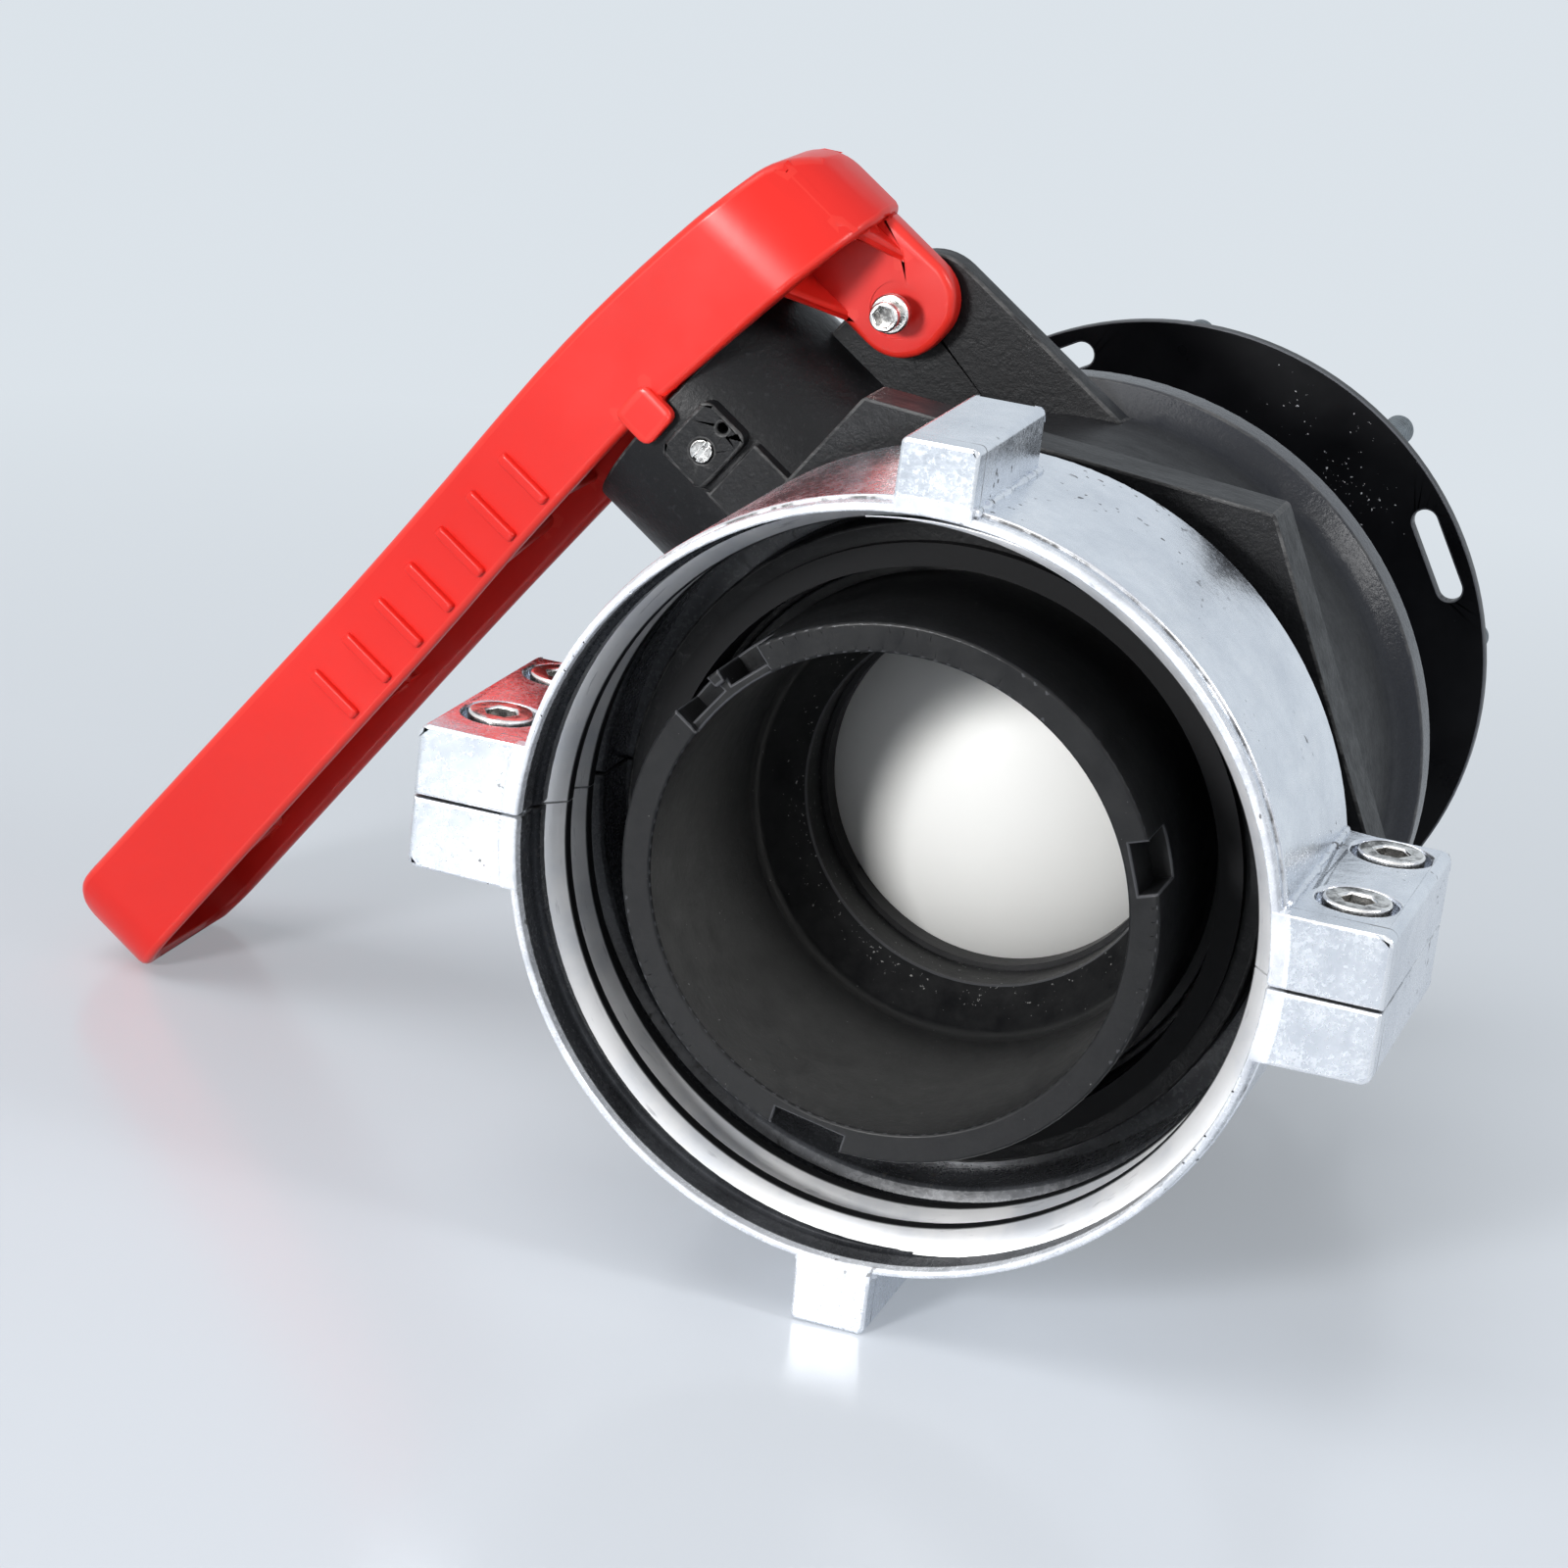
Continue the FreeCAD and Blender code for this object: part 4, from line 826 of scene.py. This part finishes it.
# Operators
class VALVE_OT_nut(bpy.types.Operator):
    """Split union nut: two cast halves, flash at their lugs and the helical thread inside"""

    bl_idname = "valve.nut"
    bl_label = "Union Nut"

    def execute(self, context):
        scene = context.scene
        skin = cast_finish(scene.valve_colours)
        for node in ("nut_upper_half", "nut_lower_half"):
            softened(node, "union_nut", scene.valve_edges.casting, skin)
        self.flash(scene.valve_beads, skin)
        self.thread(scene.valve_thread, scene.valve_colours)
        return {"FINISHED"}

    def thread(self, sizes, colours):
        """The ridge, grown once for each half of the nut and cut at the seam."""
        turned = thread_finish(colours, sizes.wall - sizes.depth)
        tree = thread_tree()
        # the ridge starts at its clock angle and runs clockwise inward, as seen from the mouth
        place = (Matrix.Translation((0.0, MOUTH + sizes.start, 0.0))
                 @ Matrix.Rotation(-sizes.clock, 4, "Y") @ Matrix.Rotation(-math.pi / 2, 4, "X"))
        seam = NUT_TURN @ Vector((0.0, 0.0, 1.0))
        for name, side in (("union_thread_upper", 1.0), ("union_thread_lower", -1.0)):
            mesh = grown(name, tree, {
                "Wall Radius": sizes.wall, "Lead": sizes.lead, "Turns": sizes.turns,
                "Depth": sizes.depth, "Flank": sizes.flank, "Land": sizes.land,
                "Fade": sizes.fade, "Finish": turned})
            mesh.transform(place)
            split_by(mesh, seam * side * SPLIT_HALF, seam * side)
            mount(piece_from(name, mesh, turned, smooth=40.0), "union_nut")

    def flash(self, sizes, skin):
        """Beads at the feet of the two lugs and of the ears, above and below the seam."""
        tree = bead_tree()
        drum = NUT_DRUM + 0.05 * MM
        above = math.sqrt(drum ** 2 - BESIDE_LUG ** 2)
        beside = math.sqrt(drum ** 2 - BESIDE_EAR ** 2)
        # a bead goes along one side of the foot, round its far end and back on the other side
        round_foot = ((-1.0, 0), (-1.0, 1), (1.0, 1), (1.0, 0))
        feet = []
        for name, side in (("top", 1.0), ("bottom", -1.0)):
            feet.append((name, [(across * BESIDE_LUG, LUG_SPAN[end], side * above)
                                for across, end in round_foot]))
        for name, side in (("left", -1.0), ("right", 1.0)):
            feet.append((name, [(side * beside, EAR_SPAN[end], up * BESIDE_EAR)
                                for up, end in round_foot]))
        for seed, (name, corners) in enumerate(feet, start=3):
            near_left, far_left, far_right, near_right = corners
            mesh = grown("flash_" + name, tree, {
                "Near Left": near_left, "Far Left": far_left, "Far Right": far_right,
                "Near Right": near_right, "Radius": sizes.radius, "Unevenness": sizes.rough,
                "Seed": float(seed), "Finish": skin})
            mesh.transform(NUT_TURN @ Matrix.Translation((0.0, MOUTH, 0.0)))
            bead = piece_from("flash_" + name, mesh, skin, smooth=80.0)
            mount(bead, "union_nut")


class VALVE_OT_lever(bpy.types.Operator):
    """Red lever with rounded edges, and grip ribs on its front wall"""

    bl_idname = "valve.lever"
    bl_label = "Lever"

    def execute(self, context):
        scene = context.scene
        sizes = scene.valve_grip
        red = lever_finish(scene.valve_colours)
        softened("lever", "lever_group", scene.valve_edges.lever, red, self.rounds, self.trimmed)
        # each bar is half sunk into the wall, so it is twice as deep as it stands out
        mesh = grown("grip_ribs", ribs_tree(), {
            "Wall": NODES["lever"], "Count": sizes.count, "First": LEAN @ FIRST_RIB,
            "Last": LEAN @ LAST_RIB, "Upright": LEAN @ Vector((0.0, 0.0, 1.0)),
            "Width": sizes.width, "Height": sizes.height, "Depth": 2.0 * sizes.proud,
            "Finish": red})
        mount(piece_from("grip_ribs", mesh, red, smooth=80.0), "lever_group")
        return {"FINISHED"}

    def rounds(self, edge):
        """Tell if an edge is rounded: those round the lock screw's seat stay as they are."""
        spot = STAND @ edge.verts[0].co
        return math.hypot(spot.x - LOCK_SPOT[0], spot.z - LOCK_SPOT[1]) > LOCK_SEAT

    def trimmed(self, spot):
        """Draw the foot of the gusset back into the hub's rounded corner."""
        stood = STAND @ spot
        away = Vector((stood.x - HUB_MIDDLE[0], stood.y - HUB_MIDDLE[1]))
        in_corner = GUSSET_SPAN[0] < away.x < GUSSET_SPAN[1] and away.y < 0.0
        if not in_corner or away.length < HUB_CORNER:
            return spot
        away *= HUB_CORNER / away.length
        stood.x = HUB_MIDDLE[0] + away.x
        stood.y = HUB_MIDDLE[1] + away.y
        return LEAN @ stood


class VALVE_OT_body(bpy.types.Operator):
    """Black moulded body, seat carrier, white ball and the seals"""

    bl_idname = "valve.body"
    bl_label = "Body, Ball and Seals"

    def execute(self, context):
        colours = context.scene.valve_colours
        edges = context.scene.valve_edges
        softened("valve_body", "valve", edges.body,
                 black_finish(colours, "body_black", 0.42, 1100.0, 0.2 * MM))
        softened("seat_carrier", "valve", edges.carrier, carrier_finish(colours))
        softened("ball", "lever_group", edges.ball, ball_finish(colours))
        dress(rubber_finish("seat_black", colours.seat, 0.35), "front_seat", "rear_seat")
        dress(rubber_finish("seal_rubber", colours.seal, 0.55), "carrier_o_ring",
              "stem_o_ring_lower", "stem_o_ring_upper", "tail_o_ring")
        dress(rubber_finish("gasket_rubber", colours.gasket, 0.60), "mouth_gasket",
              "tank_gasket")
        dress(black_finish(colours, "stem_nylon", 0.38, 700.0, 0.1 * MM), "stem", "gland_ring",
              "slip_ring", "tail_adapter")
        return {"FINISHED"}


class VALVE_OT_hardware(bpy.types.Operator):
    """Plated screws and nuts, the lacquered tank ring and its studs"""

    bl_idname = "valve.hardware"
    bl_label = "Screws, Ring and Studs"

    def execute(self, context):
        colours = context.scene.valve_colours
        edges = context.scene.valve_edges
        steel = steel_finish(colours)
        for index in range(1, 5):
            softened(f"clamp_screw_{index}", "union_nut", edges.screw, steel)
            softened(f"clamp_nut_{index}", "union_nut", edges.hex_nut, steel)
        softened("lever_washer", "lever_group", edges.washer, steel)
        softened("lever_screw", "lever_group", edges.screw, steel)
        softened("lock_screw", "lock_screw_body", edges.lock_screw, steel)
        softened("neck_screw", "valve", edges.neck_screw, steel)
        softened("flange_ring", "tank_ring", edges.ring, ring_finish(colours))
        dress(stud_finish(colours), *[f"stud_{index}" for index in range(1, 9)])
        return {"FINISHED"}


class VALVE_OT_stage(bpy.types.Operator):
    """Pale sweep, soft lamps and the camera at the photograph's angle"""

    bl_idname = "valve.stage"
    bl_label = "Stage and Camera"

    def execute(self, context):
        scene = context.scene
        colours = scene.valve_colours
        light = scene.valve_studio
        self.sweep(colours)
        self.room(scene, light, colours)
        self.lamp("sun_lamp", "SUN", light.sun, KEY_ANGLE, KEY_FROM)
        self.lamp("front_lamp", "AREA", light.front, FRONT_SIZE, FRONT_SPOT, FRONT_AIM)
        self.lamp("side_lamp", "AREA", light.side, SIDE_SIZE, SIDE_SPOT, SIDE_AIM)
        self.camera(scene)
        scene.view_settings.view_transform = "Standard"
        return {"FINISHED"}

    def sweep(self, colours):
        """Floor that curves up into a backdrop, far behind the valve."""
        low = CAD_LOW.z
        profile = [(SWEEP_NEAR, 0.0), (SWEEP_FAR, 0.0)]
        for step in range(1, CURVE_STEPS + 1):
            angle = step * math.pi / 2 / CURVE_STEPS
            profile.append((SWEEP_FAR + SWEEP_CURVE * math.sin(angle),
                            SWEEP_CURVE - SWEEP_CURVE * math.cos(angle)))
        profile.append((SWEEP_FAR + SWEEP_CURVE, SWEEP_TOP))
        shape = bmesh.new()
        rows = [[shape.verts.new((across, back, low + up)) for across in (-SWEEP_SIDE, SWEEP_SIDE)]
                for back, up in profile]
        for near, far in zip(rows, rows[1:]):
            shape.faces.new((near[0], near[1], far[1], far[0])).smooth = True
        mesh = bpy.data.meshes.new("sweep")
        shape.to_mesh(mesh)
        shape.free()
        sweep = new_object("sweep", mesh)
        finish, tree, shader, place = new_finish("studio_sweep", 0.22, Specular_IOR_Level=0.5)
        cloud = grain(tree, place, 1.4, 2.0, 0.4)
        skin = ramp(tree, cloud, times(colours.floor, 0.97), times(colours.floor, 1.03), 0.3, 0.7)
        tree.links.new(skin, shader.inputs["Base Color"])
        glow = add(tree, "ShaderNodeEmission", {"Color": (*colours.backdrop, 1.0)})
        away = vectors(tree, "DISTANCE", place, (0.0, MOUTH, low))
        seen = product(tree, pale_rays(tree), ramp(tree, away, 0.30, 1.0, 0.14, 0.60))
        mix = add(tree, "ShaderNodeMixShader", {
            0: seen, 1: shader.outputs["BSDF"], 2: glow.outputs["Emission"]})
        output = next(node for node in tree.nodes if node.type == "OUTPUT_MATERIAL")
        tree.links.new(mix.outputs["Shader"], output.inputs["Surface"])
        mesh.materials.append(finish)

    def room(self, scene, light, colours):
        """Pale surroundings, brightest in front of the valve and greyer behind and above."""
        world = bpy.data.worlds.new("studio_room")
        world.use_nodes = True
        scene.world = world
        tree = world.node_tree
        tree.nodes.clear()
        way = add(tree, "ShaderNodeTexCoord").outputs["Generated"]
        ahead = vectors(tree, "DOT_PRODUCT", way, ROOM_FRONT)
        tone = ramp(tree, ahead, (0.50, 0.54, 0.62), (1.0, 1.0, 1.0), -0.45, 0.55)
        by_camera = add(tree, "ShaderNodeLightPath").outputs["Is Camera Ray"]
        tone = tint(tree, by_camera, tone, colours.backdrop)
        strength = ramp(tree, pale_rays(tree), light.sky, 1.0)
        glow = add(tree, "ShaderNodeBackground", {"Color": tone, "Strength": strength})
        output = add(tree, "ShaderNodeOutputWorld")
        tree.links.new(glow.outputs["Background"], output.inputs["Surface"])

    def lamp(self, name, kind, power, size, spot, aim_at=(0.0, 0.0, 0.0)):
        """A soft lamp: its size is an angle for the distant one and a width for the near ones."""
        data = bpy.data.lights.new(name, kind)
        data.energy = power
        if kind == "SUN":
            data.angle = size
        else:
            data.shape = "SQUARE"
            data.size = size
            data.spread = LAMP_SPREAD
        lamp = new_object(name, data)
        aim = Vector(aim_at) - Vector(spot)
        lamp.matrix_world = (Matrix.Translation(spot)
                             @ aim.to_track_quat("-Z", "Y").to_matrix().to_4x4())

    def camera(self, scene):
        """The photograph's viewpoint; the turn's rows point right, down and forward."""
        look = Matrix.Rotation(CAMERA_TURN.length, 3, CAMERA_TURN.normalized())
        right, down, forward = Vector(look[0]), Vector(look[1]), Vector(look[2])
        spot = -(look.transposed() @ CAMERA_SHIFT)
        data = bpy.data.cameras.new("photo_camera")
        data.sensor_width = SENSOR_WIDTH
        data.lens = FOCAL_PIXELS / PHOTO_WIDTH * SENSOR_WIDTH
        data.clip_start = 0.02
        data.clip_end = 20.0
        camera = new_object("photo_camera", data)
        camera.matrix_world = (Matrix.Translation(spot)
                               @ Matrix((right, -down, -forward)).transposed().to_4x4())
        scene.camera = camera


class VALVE_PT_panel(bpy.types.Panel):
    """Buttons for each group of pieces, with the sizes and colours they use"""

    bl_idname = "VALVE_PT_panel"
    bl_label = "Tank Valve"
    bl_space_type = "VIEW_3D"
    bl_region_type = "UI"
    bl_category = "Valve"

    def draw(self, context):
        column = self.layout.column()
        for kind in STEPS:
            column.operator(kind.bl_idname)
        for group in GROUPS:
            sizes = getattr(context.scene, group)
            box = self.layout.box()
            for name in sizes.__class__.__annotations__:
                box.prop(sizes, name)


STEPS = (VALVE_OT_nut, VALVE_OT_lever, VALVE_OT_body, VALVE_OT_hardware, VALVE_OT_stage)
GROUPS = {"valve_colours": ValveColours, "valve_thread": ThreadSizes, "valve_grip": GripSizes,
          "valve_beads": BeadSizes, "valve_edges": EdgeSizes, "valve_studio": StudioSizes}


def register():
    for kind in (*GROUPS.values(), *STEPS, VALVE_PT_panel):
        bpy.utils.register_class(kind)
    for name, kind in GROUPS.items():
        setattr(bpy.types.Scene, name, PointerProperty(type=kind))


def unregister():
    for name in GROUPS:
        delattr(bpy.types.Scene, name)
    for kind in reversed((*GROUPS.values(), *STEPS, VALVE_PT_panel)):
        bpy.utils.unregister_class(kind)


def main():
    register()
    bpy.ops.valve.nut()
    bpy.ops.valve.lever()
    bpy.ops.valve.body()
    bpy.ops.valve.hardware()
    bpy.ops.valve.stage()


if __name__ == "__main__":
    main()
